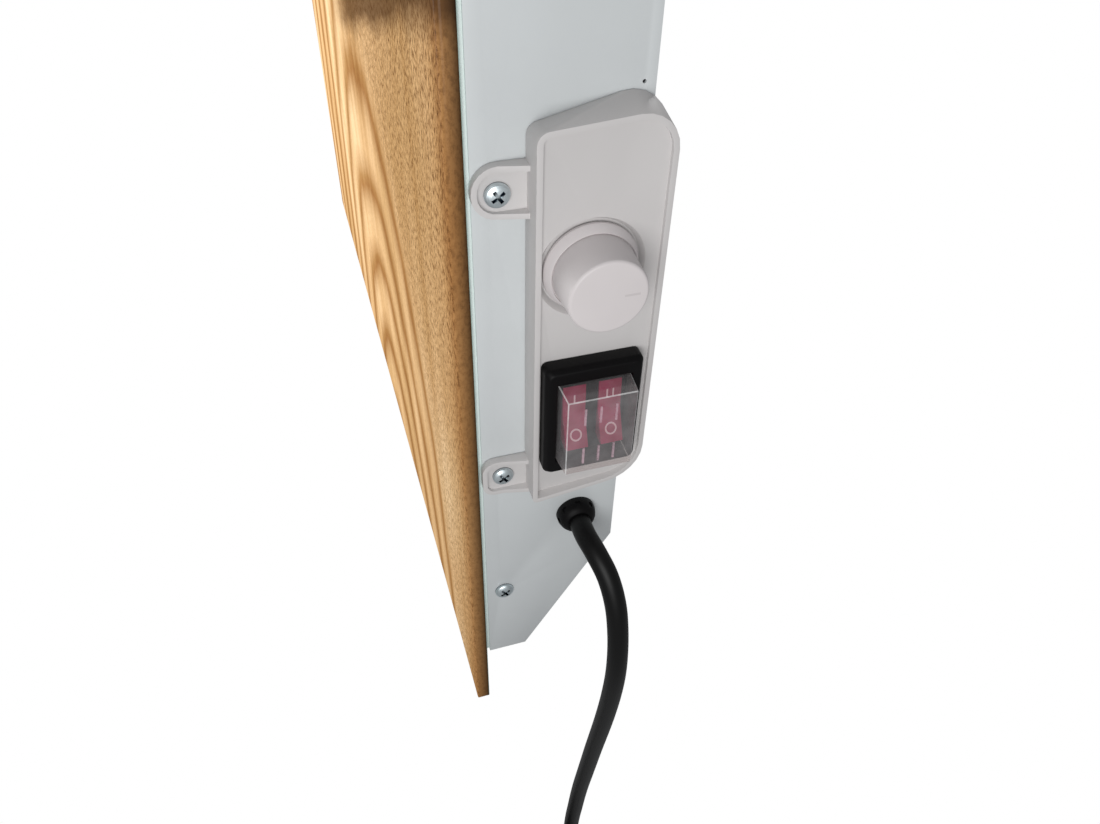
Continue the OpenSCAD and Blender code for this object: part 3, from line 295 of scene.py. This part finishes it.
knob_low, knob_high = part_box("knob")
knob_base = Vector((knob_low.x, middle_of("knob").y, middle_of("knob").z))
knob_depth = (knob_high.x - knob_low.x) * MM
KNOB_R, BARREL_R, SKIRT_R, HOLLOW_R = 12.8, 13.5, 15.6, 11.1
SKIRT_H, GROOVE_DEPTH, KNOB_SKIN = 4.3, 0.6, 2.4
KNOB_ROUND, SKIRT_ROUND = 1.1, 0.5
hollow_floor = knob_depth - KNOB_SKIN
groove_floor = SKIRT_H - GROOVE_DEPTH
knob_outline = [(0, hollow_floor), (HOLLOW_R, hollow_floor), (HOLLOW_R, 0)]
knob_outline += [(SKIRT_R - 0.3, 0), (SKIRT_R, 0.3)]
knob_outline += arc(SKIRT_R - SKIRT_ROUND, 1.0, SKIRT_ROUND, 0, 45, 4)
knob_outline += [(BARREL_R + 0.7, SKIRT_H - 0.15), (BARREL_R + 0.5, SKIRT_H)]
knob_outline += [(BARREL_R + 0.35, SKIRT_H - 0.05)]
knob_outline += [(BARREL_R + 0.3, groove_floor), (BARREL_R, groove_floor)]
knob_outline += arc(KNOB_R - KNOB_ROUND, knob_depth - KNOB_ROUND, KNOB_ROUND, 0, 90, 8)
knob_outline += [(0, knob_depth)]
knob = turned("knob_turned", knob_outline, knob_base, (1, 0, 0), "knob_body")
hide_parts("knob")
print("knob depth:", round(knob_depth, 1), "mm")

# %% [markdown]
# The clear cap is a tapered hood, drawn as one thin skin that is open at the back. A `block` is eight
# corners given by two rectangles. Its front edges are bevelled, and the bevel has a material slot of its
# own for a painted highlight, where light gathers. The raised ribs are small blocks with a third slot,
# for a pinkish painted highlight.


# %% Build the clear cap
def block(bm, low, high, middle, slot=0):
    """Add a tapered block between two (x, half width, half height) rectangles; return its faces."""
    verts = [bm.verts.new(at_side(x, middle[0] + y, middle[1] + z))
             for x, w, h in (low, high) for y, z in ((-w, -h), (w, -h), (w, h), (-w, h))]
    sides = [(0, 1, 5, 4), (1, 2, 6, 5), (2, 3, 7, 6), (3, 0, 4, 7), (4, 5, 6, 7), (3, 2, 1, 0)]
    faces = []
    for side in sides:
        face = bm.faces.new([verts[i] for i in side])
        face.material_index = slot
        faces.append(face)
    return faces


CAP_Y = (middle_of("splash_cap").y - SIDE.y) * MM
CAP_Z = (middle_of("splash_cap").z - SIDE.z) * MM
CAP_BASE_X, CAP_TOP_X = 12, 25
CAP_HALF_W, CAP_HALF_H, CAP_TAPER = 13.1, 17.6, 0.8
CAP_ROUND = 0.00035
FILM_SLOT, EDGE_SLOT, RIB_SLOT = 0, 1, 2
RIB_YS = (-6.1, -0.6, 4.9)
RIB_ZS = (-8.4, 9.6)
RIB_HALF_W, RIB_HALF_H, RIB_TAPER = 0.4, 3.6, 0.05
RIB_SINK, RIB_TOP = 0.05, 0.5
cap_bm = bmesh.new()
outer = block(cap_bm, (CAP_BASE_X, CAP_HALF_W, CAP_HALF_H),
              (CAP_TOP_X, CAP_HALF_W - CAP_TAPER, CAP_HALF_H - CAP_TAPER), (CAP_Y, CAP_Z), FILM_SLOT)
top_edges = [e for f in outer[:5] for e in f.edges if e not in outer[5].edges]
rounded = bmesh.ops.bevel(cap_bm, geom=list(set(top_edges)), offset=CAP_ROUND, segments=1, profile=0.5,
                          affect="EDGES", clamp_overlap=True, material=-1)
for face in rounded["faces"]:
    face.material_index = EDGE_SLOT
back_x = at_side(CAP_BASE_X, 0, 0).x + 1e-6
open_side = [f for f in cap_bm.faces if f.normal.x < -0.9 or f.calc_center_median().x < back_x]
bmesh.ops.delete(cap_bm, geom=open_side, context="FACES_ONLY")
for rib_y in RIB_YS:
    for rib_z in RIB_ZS:
        block(cap_bm, (CAP_TOP_X + RIB_SINK, RIB_HALF_W, RIB_HALF_H),
              (CAP_TOP_X + RIB_TOP, RIB_HALF_W - RIB_TAPER, RIB_HALF_H - RIB_TAPER),
              (CAP_Y + rib_y, CAP_Z + rib_z), RIB_SLOT)
cap = make_object("clear_cap", cap_bm, "panel")
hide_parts("splash_cap")
print("cap:", len(cap.data.polygons), "faces")

# %% [markdown]
# ## Colours
# `srgb` turns a printed hex colour into the linear values that a shader needs. A `Recipe` is a new
# material with short ways to add a node, set its inputs, mix colours and make bumps, so that each
# material below reads as a few lines.


# %% Material helpers
def srgb(code):
    """Linear colour from a hex code."""
    parts = [int(code[i:i + 2], 16) / 255 for i in (1, 3, 5)]
    return tuple(c / 12.92 if c <= 0.04045 else ((c + 0.055) / 1.055) ** 2.4 for c in parts) + (1,)


class Recipe:
    """A new material, its node tree, and short ways to add to it."""

    def __init__(self, name, **principled):
        self.material = bpy.data.materials.new(name)
        self.material.use_nodes = True
        self.tree = self.material.node_tree
        self.shader = self.tree.nodes["Principled BSDF"]
        self.output = self.tree.nodes["Material Output"]
        self.place = self.add("ShaderNodeTexCoord").outputs["Object"]
        self.set(self.shader, principled)

    def set(self, node, inputs):
        """Give inputs by name or number a value, or a link if it is a socket."""
        for key, value in inputs.items():
            target = node.inputs[key.replace("_", " ") if isinstance(key, str) else key]
            if isinstance(value, bpy.types.NodeSocket):
                self.tree.links.new(value, target)
            else:
                target.default_value = value

    def add(self, kind, settings=None, **inputs):
        """A new node with its settings and inputs."""
        node = self.tree.nodes.new(kind)
        for key, value in (settings or {}).items():
            setattr(node, key, value)
        self.set(node, inputs)
        return node

    def math(self, operation, a, b=0.0, clamp=False):
        """The result of one sum, held to 0 and 1 if clamp is on."""
        node = self.add("ShaderNodeMath", {"operation": operation, "use_clamp": clamp})
        self.set(node, {0: a, 1: b})
        return node.outputs[0]

    def noise(self, per_metre, detail=4, roughness=0.5, stretch=(1, 1, 1)):
        """Noise with about per_metre waves in a metre, with each axis multiplied by stretch."""
        scaled = self.add("ShaderNodeMapping", Vector=self.place, Scale=stretch).outputs[0]
        return self.add("ShaderNodeTexNoise", Vector=scaled, Scale=per_metre, Detail=detail,
                        Roughness=roughness).outputs["Fac"]

    def ramp(self, fac, stops):
        """Colours at stops along fac, each a hex code or a grey value."""
        node = self.add("ShaderNodeValToRGB", Fac=fac)
        elements = node.color_ramp.elements
        while len(elements) < len(stops):
            elements.new(0.5)
        for element, (at, colour) in zip(elements, stops):
            element.position = at
            element.color = srgb(colour) if isinstance(colour, str) else (colour, colour, colour, 1)
        return node.outputs["Color"]

    def mix(self, fac, a, b, blend="MIX"):
        """Colour a blended with colour b by fac."""
        node = self.add("ShaderNodeMix", {"data_type": "RGBA", "blend_type": blend})
        self.set(node, {0: fac, 6: a, 7: b})
        return node.outputs[2]

    def near(self, value, target, half):
        """One where value is within half of target, and nought elsewhere."""
        return self.math("LESS_THAN", self.math("ABSOLUTE", self.math("SUBTRACT", value, target)), half)

    def bump(self, height, distance, strength=1.0):
        """Make height push the surface by distance metres."""
        normal = self.add("ShaderNodeBump", Height=height, Distance=distance, Strength=strength).outputs[0]
        self.set(self.shader, {"Normal": normal})


# %% [markdown]
# ## Plain materials
# Powder coating has a fine orange peel, moulded plastic has a spark-eroded grain, and zinc shows faint
# streaks. All patterns are sized in real units: a scale of 1000 is one wave in a millimetre.


# %% Coated metal, plastics and rubber
def grained(name, colour, roughness, grain_mm, depth_mm, shade=0.04, specular=0.5):
    """A plain coloured surface with a fine grain and slight changes of tone."""
    r = Recipe(name, Roughness=roughness, Specular_IOR_Level=specular)
    tone = r.noise(30, detail=3)
    light = r.ramp(tone, [(0.3, 1 - shade), (0.7, 1.0)])
    r.set(r.shader, {"Base Color": r.mix(1.0, srgb(colour), light, "MULTIPLY")})
    r.bump(r.noise(MM / grain_mm, detail=3), depth_mm / MM)
    return r.material


def metal(name, colour, roughness, brush=None, shade=0.1, crevice_shade_mm=0.0):
    """A bare metal, streaked where brush gives a stretch, with painted shade in crevices up to
    crevice_shade_mm deep.
    """
    r = Recipe(name, Metallic=1.0, Roughness=roughness)
    streaks = r.noise(4 * MM if brush else 300, detail=5, stretch=brush or (1, 1, 1))
    worn = r.math("ADD", r.math("MULTIPLY", streaks, 0.15), max(roughness - 0.07, 0.02))
    tone = r.mix(1.0, srgb(colour), r.ramp(streaks, [(0.3, 1 - shade), (0.7, 1.0)]), "MULTIPLY")
    if crevice_shade_mm:
        # Painted shade: crevices that see little open room are darkened towards a dark blue grey.
        open_sky = r.add("ShaderNodeAmbientOcclusion", Distance=crevice_shade_mm / MM).outputs["AO"]
        tone = r.mix(r.ramp(open_sky, [(0.55, 0.0), (0.85, 1.0)]), srgb("#1e2a36"), tone)
    r.set(r.shader, {"Base Color": tone, "Roughness": worn})
    r.bump(streaks, 0.00002, 0.4)
    return r.material


M = {
    "white_coating": grained("white_coating", "#d3d7d8", 0.32, 0.5, 0.012),
    "box_plastic": grained("box_plastic", "#cfcccb", 0.45, 0.18, 0.012, specular=0.35),
    "black_plastic": grained("black_plastic", "#060506", 0.5, 0.15, 0.015, specular=0.15),
    "black_rubber": grained("black_rubber", "#080808", 0.45, 0.25, 0.01, specular=0.25),
    "grey_rubber": grained("grey_rubber", "#4a4a4c", 0.7, 0.3, 0.02),
    "bracket_steel": grained("bracket_steel", "#7b7d80", 0.45, 0.4, 0.02),
    "stat_plastic": grained("stat_plastic", "#3a3632", 0.55, 0.3, 0.02),
    "block_plastic": grained("block_plastic", "#e2ddcb", 0.4, 0.3, 0.01),
    "foam_tape": grained("foam_tape", "#dfe9e6", 0.6, 0.4, 0.05),
    "insulation": grained("insulation", "#b9ad7e", 0.95, 0.25, 0.2, shade=0.25),
    "heater_film": grained("heater_film", "#1c1c20", 0.35, 0.4, 0.02),
    "core_brown": grained("core_brown", "#5b3a22", 0.4, 0.4, 0.01),
    "core_blue": grained("core_blue", "#2a4f9c", 0.4, 0.4, 0.01),
    "core_green": grained("core_green", "#7a9a2c", 0.4, 0.4, 0.01),
    "galvanised_steel": metal("galvanised_steel", "#b9bcbe", 0.4, shade=0.25),
    "zinc_steel": metal("zinc_steel", "#e6f1f5", 0.42, shade=0.15, crevice_shade_mm=1.2),
    "copper": metal("copper", "#c77b4e", 0.35),
    "aluminium_foil": metal("aluminium_foil", "#d9dbdc", 0.25),
    "nickel": metal("nickel", "#d6d2c8", 0.22),
    "rail_steel": metal("rail_steel", "#dcdee0", 0.12, brush=(0.02, 1, 1), shade=0.06),
}
print("plain materials:", len(M))

# %% [markdown]
# The knob's face has a faint moulded line that points outwards. It is part of the knob's material, in
# the knob's own coordinates, so that it turns with the knob.

# %% Knob plastic with its pointer
POINTER_IN, POINTER_OUT, POINTER_HALF = 0.0048, 0.0098, 0.0004
FACE_SKIN = 0.0004
pointer_middle = (POINTER_IN + POINTER_OUT) / 2
pointer_reach = (POINTER_OUT - POINTER_IN) / 2
dial = Recipe("knob_plastic", Roughness=0.42, Specular_IOR_Level=0.35)
dial_place = dial.add("ShaderNodeMapping", Vector=dial.place, Location=-knob_base).outputs[0]
dial_xyz = dial.add("ShaderNodeSeparateXYZ", Vector=dial_place)
on_face = dial.math("GREATER_THAN", dial_xyz.outputs["X"], knob_depth / MM - FACE_SKIN)
along_line = dial.near(dial_xyz.outputs["Y"], pointer_middle, pointer_reach)
pointer = dial.math("MULTIPLY", dial.math("MULTIPLY", on_face, along_line),
                    dial.near(dial_xyz.outputs["Z"], 0.0, POINTER_HALF))
plain_dial = dial.ramp(dial.noise(30, detail=3), [(0.3, "#d2cccc"), (0.7, "#d9d3d3")])
dial.set(dial.shader, {"Base Color": dial.mix(pointer, plain_dial, srgb("#cbc5c5"))})
dial.bump(dial.noise(MM / 0.18, detail=3), 0.008 / MM)
M["knob_plastic"] = dial.material

# %% [markdown]
# ## Printed glass
# The wood decor is printed on the glass's back. Its figure is a plain sawn board: soft dark lines rise
# round a heart below the glass as nested tall arches, with pale wood between them. Short dark dashes fill
# the plain part beside them. One dark stripe crosses the glass higher up. The ground edge carries a
# painted shade that darkens towards the back, where a thin pale line of bare glass shows.

# %% Wood decor
wood = Recipe("decor_glass", Roughness=0.5, Specular_IOR_Level=0.0)
HEART = at_side(-210, 0, -150)
ARCH_TALL = 2.0
RINGS_PER_M = 34
WAVER = 0.03
FIGURE_R, FIGURE_SPREAD = 0.175, 0.6
SHADE_WIDE = 0.025
from_heart = wood.add("ShaderNodeMapping", Vector=wood.place, Location=-HEART).outputs[0]
flat = wood.add("ShaderNodeMapping", Vector=from_heart, Scale=(1.0, 0.0, 1 / ARCH_TALL)).outputs[0]
drift = wood.add("ShaderNodeTexNoise", Vector=flat, Scale=11, Detail=4, Roughness=0.55).outputs["Color"]
waver = wood.add("ShaderNodeVectorMath", {"operation": "MULTIPLY_ADD"})
wood.set(waver, {0: drift, 1: (WAVER, 0.0, WAVER), 2: (-WAVER / 2, 0.0, -WAVER / 2)})
pulled = wood.add("ShaderNodeVectorMath", {"operation": "ADD"})
wood.set(pulled, {0: flat, 1: waver.outputs[0]})
distance = wood.add("ShaderNodeVectorMath", {"operation": "LENGTH"})
wood.set(distance, {0: pulled.outputs[0]})
away = distance.outputs["Value"]
rings = wood.math("FRACT", wood.math("MULTIPLY", away, RINGS_PER_M))
line = wood.ramp(rings, [(0.0, "#e9dfd2"), (0.22, 1.12), (0.45, 1.08), (0.62, "#f0e9e1"),
                         (0.8, "#c4ab8d"), (0.9, "#cebb9e"), (1.0, "#e9dfd2")])
across = wood.add("ShaderNodeSeparateXYZ", Vector=from_heart)
leftwards = wood.math("MAXIMUM", wood.math("SUBTRACT", -0.05, across.outputs["X"]), 0.0)
limit = wood.math("ADD", wood.math("MULTIPLY", leftwards, FIGURE_SPREAD), FIGURE_R)
plain = wood.math("MULTIPLY", wood.math("SUBTRACT", away, limit), 90, clamp=True)
figured = wood.math("SUBTRACT", 1.0, plain)
figure = wood.mix(figured, (0.94, 0.94, 0.94, 1), line)
broad = wood.ramp(wood.noise(7, detail=2, stretch=(1, 0, 0.6)),
                  [(0.35, "#d3ab77"), (0.5, "#e1ba89"), (0.65, "#eecda0")])
straight = wood.ramp(wood.noise(70, detail=3, stretch=(1, 0, 0.05)), [(0.35, "#f4eee4"), (0.6, 1.06)])
toned = wood.mix(1.0, wood.mix(1.0, broad, straight, "MULTIPLY"), figure, "MULTIPLY")
print("wood figure ready")

# %% [markdown]
# The dashes are a fine noise. They are strong in the plain part, grow stronger with height, and fade on
# the glass's ground edge, where `depth` runs from nought at the front to one at the back. The board is a
# little darker along its right edge.

# %% Dashes and edge shade
dashes = wood.noise(620, detail=4, roughness=0.75, stretch=(1, 1, 0.6))
speck = wood.ramp(dashes, [(0.38, "#8a7358"), (0.49, "#f3eadf"), (0.58, 1.22)])
face = wood.add("ShaderNodeSeparateXYZ", Vector=wood.place)
behind_front = wood.math("SUBTRACT", face.outputs["Y"], glass_low.y)
depth = wood.math("DIVIDE", behind_front, glass_high.y - glass_low.y, clamp=True)
rise = wood.math("MULTIPLY", wood.math("SUBTRACT", face.outputs["Z"], SIDE.z + 0.1), 1.5, clamp=True)
amount = wood.math("ADD", wood.math("MULTIPLY", plain, wood.math("ADD", rise, 0.5)), 0.2, clamp=True)
behind = wood.math("MULTIPLY", wood.math("MULTIPLY", depth, 8, clamp=True), 0.6)
amount = wood.math("MULTIPLY", amount, wood.math("SUBTRACT", 1.0, behind))
from_edge = wood.math("DIVIDE", wood.math("SUBTRACT", glass_high.x, face.outputs["X"]), SHADE_WIDE)
edge_shade = wood.ramp(from_edge, [(0.0, "#c4ad92"), (0.5, "#e8decf"), (1.0, 1.0)])
speckled = wood.mix(1.0, wood.mix(amount, toned, speck, "MULTIPLY"), edge_shade, "MULTIPLY")
print("dashes ready")

# %% [markdown]
# The dark stripe rises slowly to the right. Its lower edge is sharp and ragged, its upper edge is soft,
# and it fades out to the left. Last come the painted shade of the ground edge, the bare glass at its back
# and a weak gloss over all of it.

# %% Dark stripe, ground edge and gloss
STRIPE_LOW, STRIPE_WIDE, STRIPE_SLOPE = 289, 0.060, 0.35
STRIPE_RAGGED, STRIPE_STRENGTH = 0.03, 0.8
BARE_FROM = 0.93
slant = wood.math("ADD", face.outputs["Z"], wood.math("MULTIPLY", face.outputs["X"], -STRIPE_SLOPE))
ragged = wood.math("MULTIPLY", wood.noise(14, detail=3, stretch=(1, 0, 1)), STRIPE_RAGGED)
stripe_low = at_side(0, 0, STRIPE_LOW).z - STRIPE_SLOPE * SIDE.x
into = wood.math("SUBTRACT", wood.math("ADD", slant, ragged), stripe_low + 0.008)
lower_edge = wood.math("MULTIPLY", into, 110, clamp=True)
upper_edge = wood.math("MULTIPLY", wood.math("SUBTRACT", STRIPE_WIDE, into), 25, clamp=True)
reach = wood.math("MULTIPLY", wood.math("ADD", face.outputs["X"], 0.06), 12, clamp=True)
stripe = wood.math("MULTIPLY", wood.math("MULTIPLY", lower_edge, upper_edge),
                   wood.math("MULTIPLY", reach, STRIPE_STRENGTH))
banded = wood.mix(stripe, speckled, srgb("#543417"))
# Painted shade: the ground edge gets darker towards the back, as a rounded glass edge would in this light.
ground_edge_shade = wood.ramp(depth, [(0.0, 1.0), (0.25, 0.85), (0.6, 0.5), (0.9, 0.2)])
shaded = wood.mix(1.0, banded, ground_edge_shade, "MULTIPLY")
bare = wood.math("GREATER_THAN", depth, BARE_FROM)
wood.set(wood.shader, {"Base Color": wood.mix(bare, shaded, srgb("#d3eae0"))})
gloss = wood.add("ShaderNodeBsdfGlossy", Roughness=0.3)
blend = wood.add("ShaderNodeMixShader")
wood.set(blend, {0: 0.02, 1: wood.shader.outputs[0], 2: gloss.outputs[0]})
wood.set(wood.output, {"Surface": blend.outputs[0]})
M["decor_glass"] = wood.material
print("decor nodes:", len(wood.tree.nodes))

# %% [markdown]
# ## Switch
# The rockers are red plastic and carry printed marks: one bar or two bars near the upper end, and a ring
# near the lower end. The marks are part of each rocker's material, so that they tilt with it.


# %% Rocker plastic with its marks
MARK_LINE_HALF = 0.0003
BAR_UP, BAR_HALF = 0.0088, 0.0017
RING_DOWN, RING_R = 0.0052, 0.0019
BAR_APART = 0.0011


def rocker_material(name, middle, bars):
    """Red plastic with bars above and a ring below middle, which is a place in metres."""
    r = Recipe(name, Roughness=0.35, Subsurface_Weight=0.1, Subsurface_Scale=0.002,
               Specular_IOR_Level=0.3)
    spot = r.add("ShaderNodeMapping", Vector=r.place, Location=-middle).outputs[0]
    xyz = r.add("ShaderNodeSeparateXYZ", Vector=spot)
    y, z = xyz.outputs["Y"], xyz.outputs["Z"]
    mark = None
    for place in bars:
        bar = r.math("MULTIPLY", r.near(y, place, MARK_LINE_HALF), r.near(z, BAR_UP, BAR_HALF))
        mark = bar if mark is None else r.math("MAXIMUM", mark, bar)
    dz = r.math("ADD", z, RING_DOWN)
    radius = r.math("SQRT", r.math("ADD", r.math("MULTIPLY", y, y), r.math("MULTIPLY", dz, dz)))
    mark = r.math("MAXIMUM", mark, r.near(radius, RING_R, MARK_LINE_HALF))
    tone = r.ramp(r.noise(120, detail=3), [(0.3, "#941c46"), (0.7, "#ac2c5e")])
    r.set(r.shader, {"Base Color": r.mix(mark, tone, srgb("#e0bcc7"))})
    r.bump(r.noise(MM / 0.3, detail=2), 0.000005)
    return r.material


switch_z = middle_of("switch_frame").z
left_spot = Vector((0, middle_of("rocker_left").y, switch_z))
right_spot = Vector((0, middle_of("rocker_right").y, switch_z))
left_red = rocker_material("rocker_red_one", left_spot, [0.0])
right_red = rocker_material("rocker_red_two", right_spot, [-BAR_APART, BAR_APART])
M["rocker_plastic"] = left_red
print("rocker marks ready")

# %% [markdown]
# The cap is thin clear plastic, so it is drawn as a clear film with a little milk and a faint sheen, and
# not as a solid lens. Its bevelled edges and its ribs carry a painted highlight: more white and less film.
# Two small neon lamps lie behind the rockers.

# %% Clear cap and lamps
clear = Recipe("clear_plastic", Roughness=0.12)
film = clear.add("ShaderNodeBsdfTransparent", Color=srgb("#f1ecea"))
sheen = clear.add("ShaderNodeBsdfGlossy", Roughness=0.12)
milk = clear.add("ShaderNodeBsdfDiffuse", Color=srgb("#f2eef0"))
cloud = clear.ramp(clear.noise(150, detail=4), [(0.3, 0.10), (0.8, 0.20)])
hazed = clear.add("ShaderNodeMixShader")
clear.set(hazed, {0: cloud, 1: film.outputs[0], 2: milk.outputs[0]})
glossed = clear.add("ShaderNodeMixShader")
clear.set(glossed, {0: 0.06, 1: hazed.outputs[0], 2: sheen.outputs[0]})
clear.set(clear.output, {"Surface": glossed.outputs[0]})
M["clear_plastic"] = clear.material


def painted_highlight_film(name, colour, amount):
    """Clear plastic with a painted highlight where light gathers, as on an edge or a rib: more white and
    less film.
    """
    r = Recipe(name, Roughness=0.2)
    through = r.add("ShaderNodeBsdfTransparent", Color=srgb("#f6f4f4"))
    painted_highlight = r.add("ShaderNodeBsdfDiffuse", Color=srgb(colour))
    grain = r.ramp(r.noise(400, detail=3), [(0.3, amount - 0.1), (0.7, amount + 0.1)])
    both = r.add("ShaderNodeMixShader")
    r.set(both, {0: grain, 1: through.outputs[0], 2: painted_highlight.outputs[0]})
    r.set(r.output, {"Surface": both.outputs[0]})
    return r.material


# Painted highlights: white on the cap's bevelled edges, pinkish on its ribs.
cap_edge_highlight = painted_highlight_film("clear_plastic_edge_highlight", "#ffffff", 0.45)
cap_rib_highlight = painted_highlight_film("clear_plastic_rib_highlight", "#f0d3de", 0.3)

lamp = Recipe("lamp_glass", Roughness=0.1, Transmission_Weight=0.8)
lamp.set(lamp.shader, {"Base Color": lamp.ramp(lamp.noise(400), [(0.3, "#f0a060"), (0.7, "#ffcf9a")])})
M["lamp_glass"] = lamp.material
print("materials:", len(M))

# %% [markdown]
# ## Put the materials on
# Every CAD node and every new piece takes the material of its slot in the record.


# %% Assign
def paint(piece, material):
    """Give a piece one material."""
    piece.data.materials.clear()
    piece.data.materials.append(material)


for node, piece in frame["nodes"].items():
    paint(piece, M[slots[node]])
for node, piece in soft_pieces.items():
    paint(piece, M[slots[node]])
paint(soft_pieces["rocker_left"], left_red)
paint(soft_pieces["rocker_right"], right_red)
paint(frame["nodes"]["rocker_right"], right_red)
paint(knob, M["knob_plastic"])
for material in (M["clear_plastic"], cap_edge_highlight, cap_rib_highlight):
    cap.data.materials.append(material)
paint(cord, M["black_rubber"])
print("painted:", len(frame["nodes"]) + len(soft_pieces) + 3)

# %% [markdown]
# ## Light
# The picture has soft room light on a pure white ground. The world shows white to the camera and gives a
# plain grey light to everything else.

# %% Light the room
world = bpy.data.worlds.new("World")
bpy.context.scene.world = world
world.use_nodes = True
tree = world.node_tree
tree.nodes.clear()
room = tree.nodes.new("ShaderNodeBackground")
room.inputs["Color"].default_value = srgb("#f5f6f8")
room.inputs["Strength"].default_value = 0.32
ground = tree.nodes.new("ShaderNodeBackground")
ground.inputs["Color"].default_value = (1, 1, 1, 1)
ground.inputs["Strength"].default_value = 1.0
path = tree.nodes.new("ShaderNodeLightPath")
pick = tree.nodes.new("ShaderNodeMixShader")
out = tree.nodes.new("ShaderNodeOutputWorld")
tree.links.new(path.outputs["Is Camera Ray"], pick.inputs[0])
tree.links.new(room.outputs[0], pick.inputs[1])
tree.links.new(ground.outputs[0], pick.inputs[2])
tree.links.new(pick.outputs[0], out.inputs["Surface"])
print("room light:", round(room.inputs["Strength"].default_value, 2))

# %% [markdown]
# Three disks of light do the rest. A small key lamp stands near the control box, a fill lamp lights the
# glass from the front, and a large lamp lights the panel's back.


# %% Place the lamps
def area_lamp(name, place, target, size, power):
    """A disk of light at a place that faces a target, with its size in metres and its power in watts."""
    data = bpy.data.lights.new(name, "AREA")
    data.shape = "DISK"
    data.size = size
    data.energy = power
    lamp_object = bpy.data.objects.new(name, data)
    bpy.context.collection.objects.link(lamp_object)
    lamp_object.location = place
    lamp_object.rotation_euler = (target - place).to_track_quat("-Z", "Y").to_euler()


area_lamp("Key", at_side(380, -120, 290), at_side(0, 30, 200), 0.3, 1.2)
area_lamp("Fill", at_side(-450, -520, 150), at_side(-300, 0, 100), 0.4, 3.2)
area_lamp("Back", Vector((-1.2, 0.7, 0.2)), Vector((0, 0, -0.2)), 0.8, 16.0)
bpy.context.scene.view_settings.view_transform = "Standard"
print("lamps:", len(bpy.data.lights))
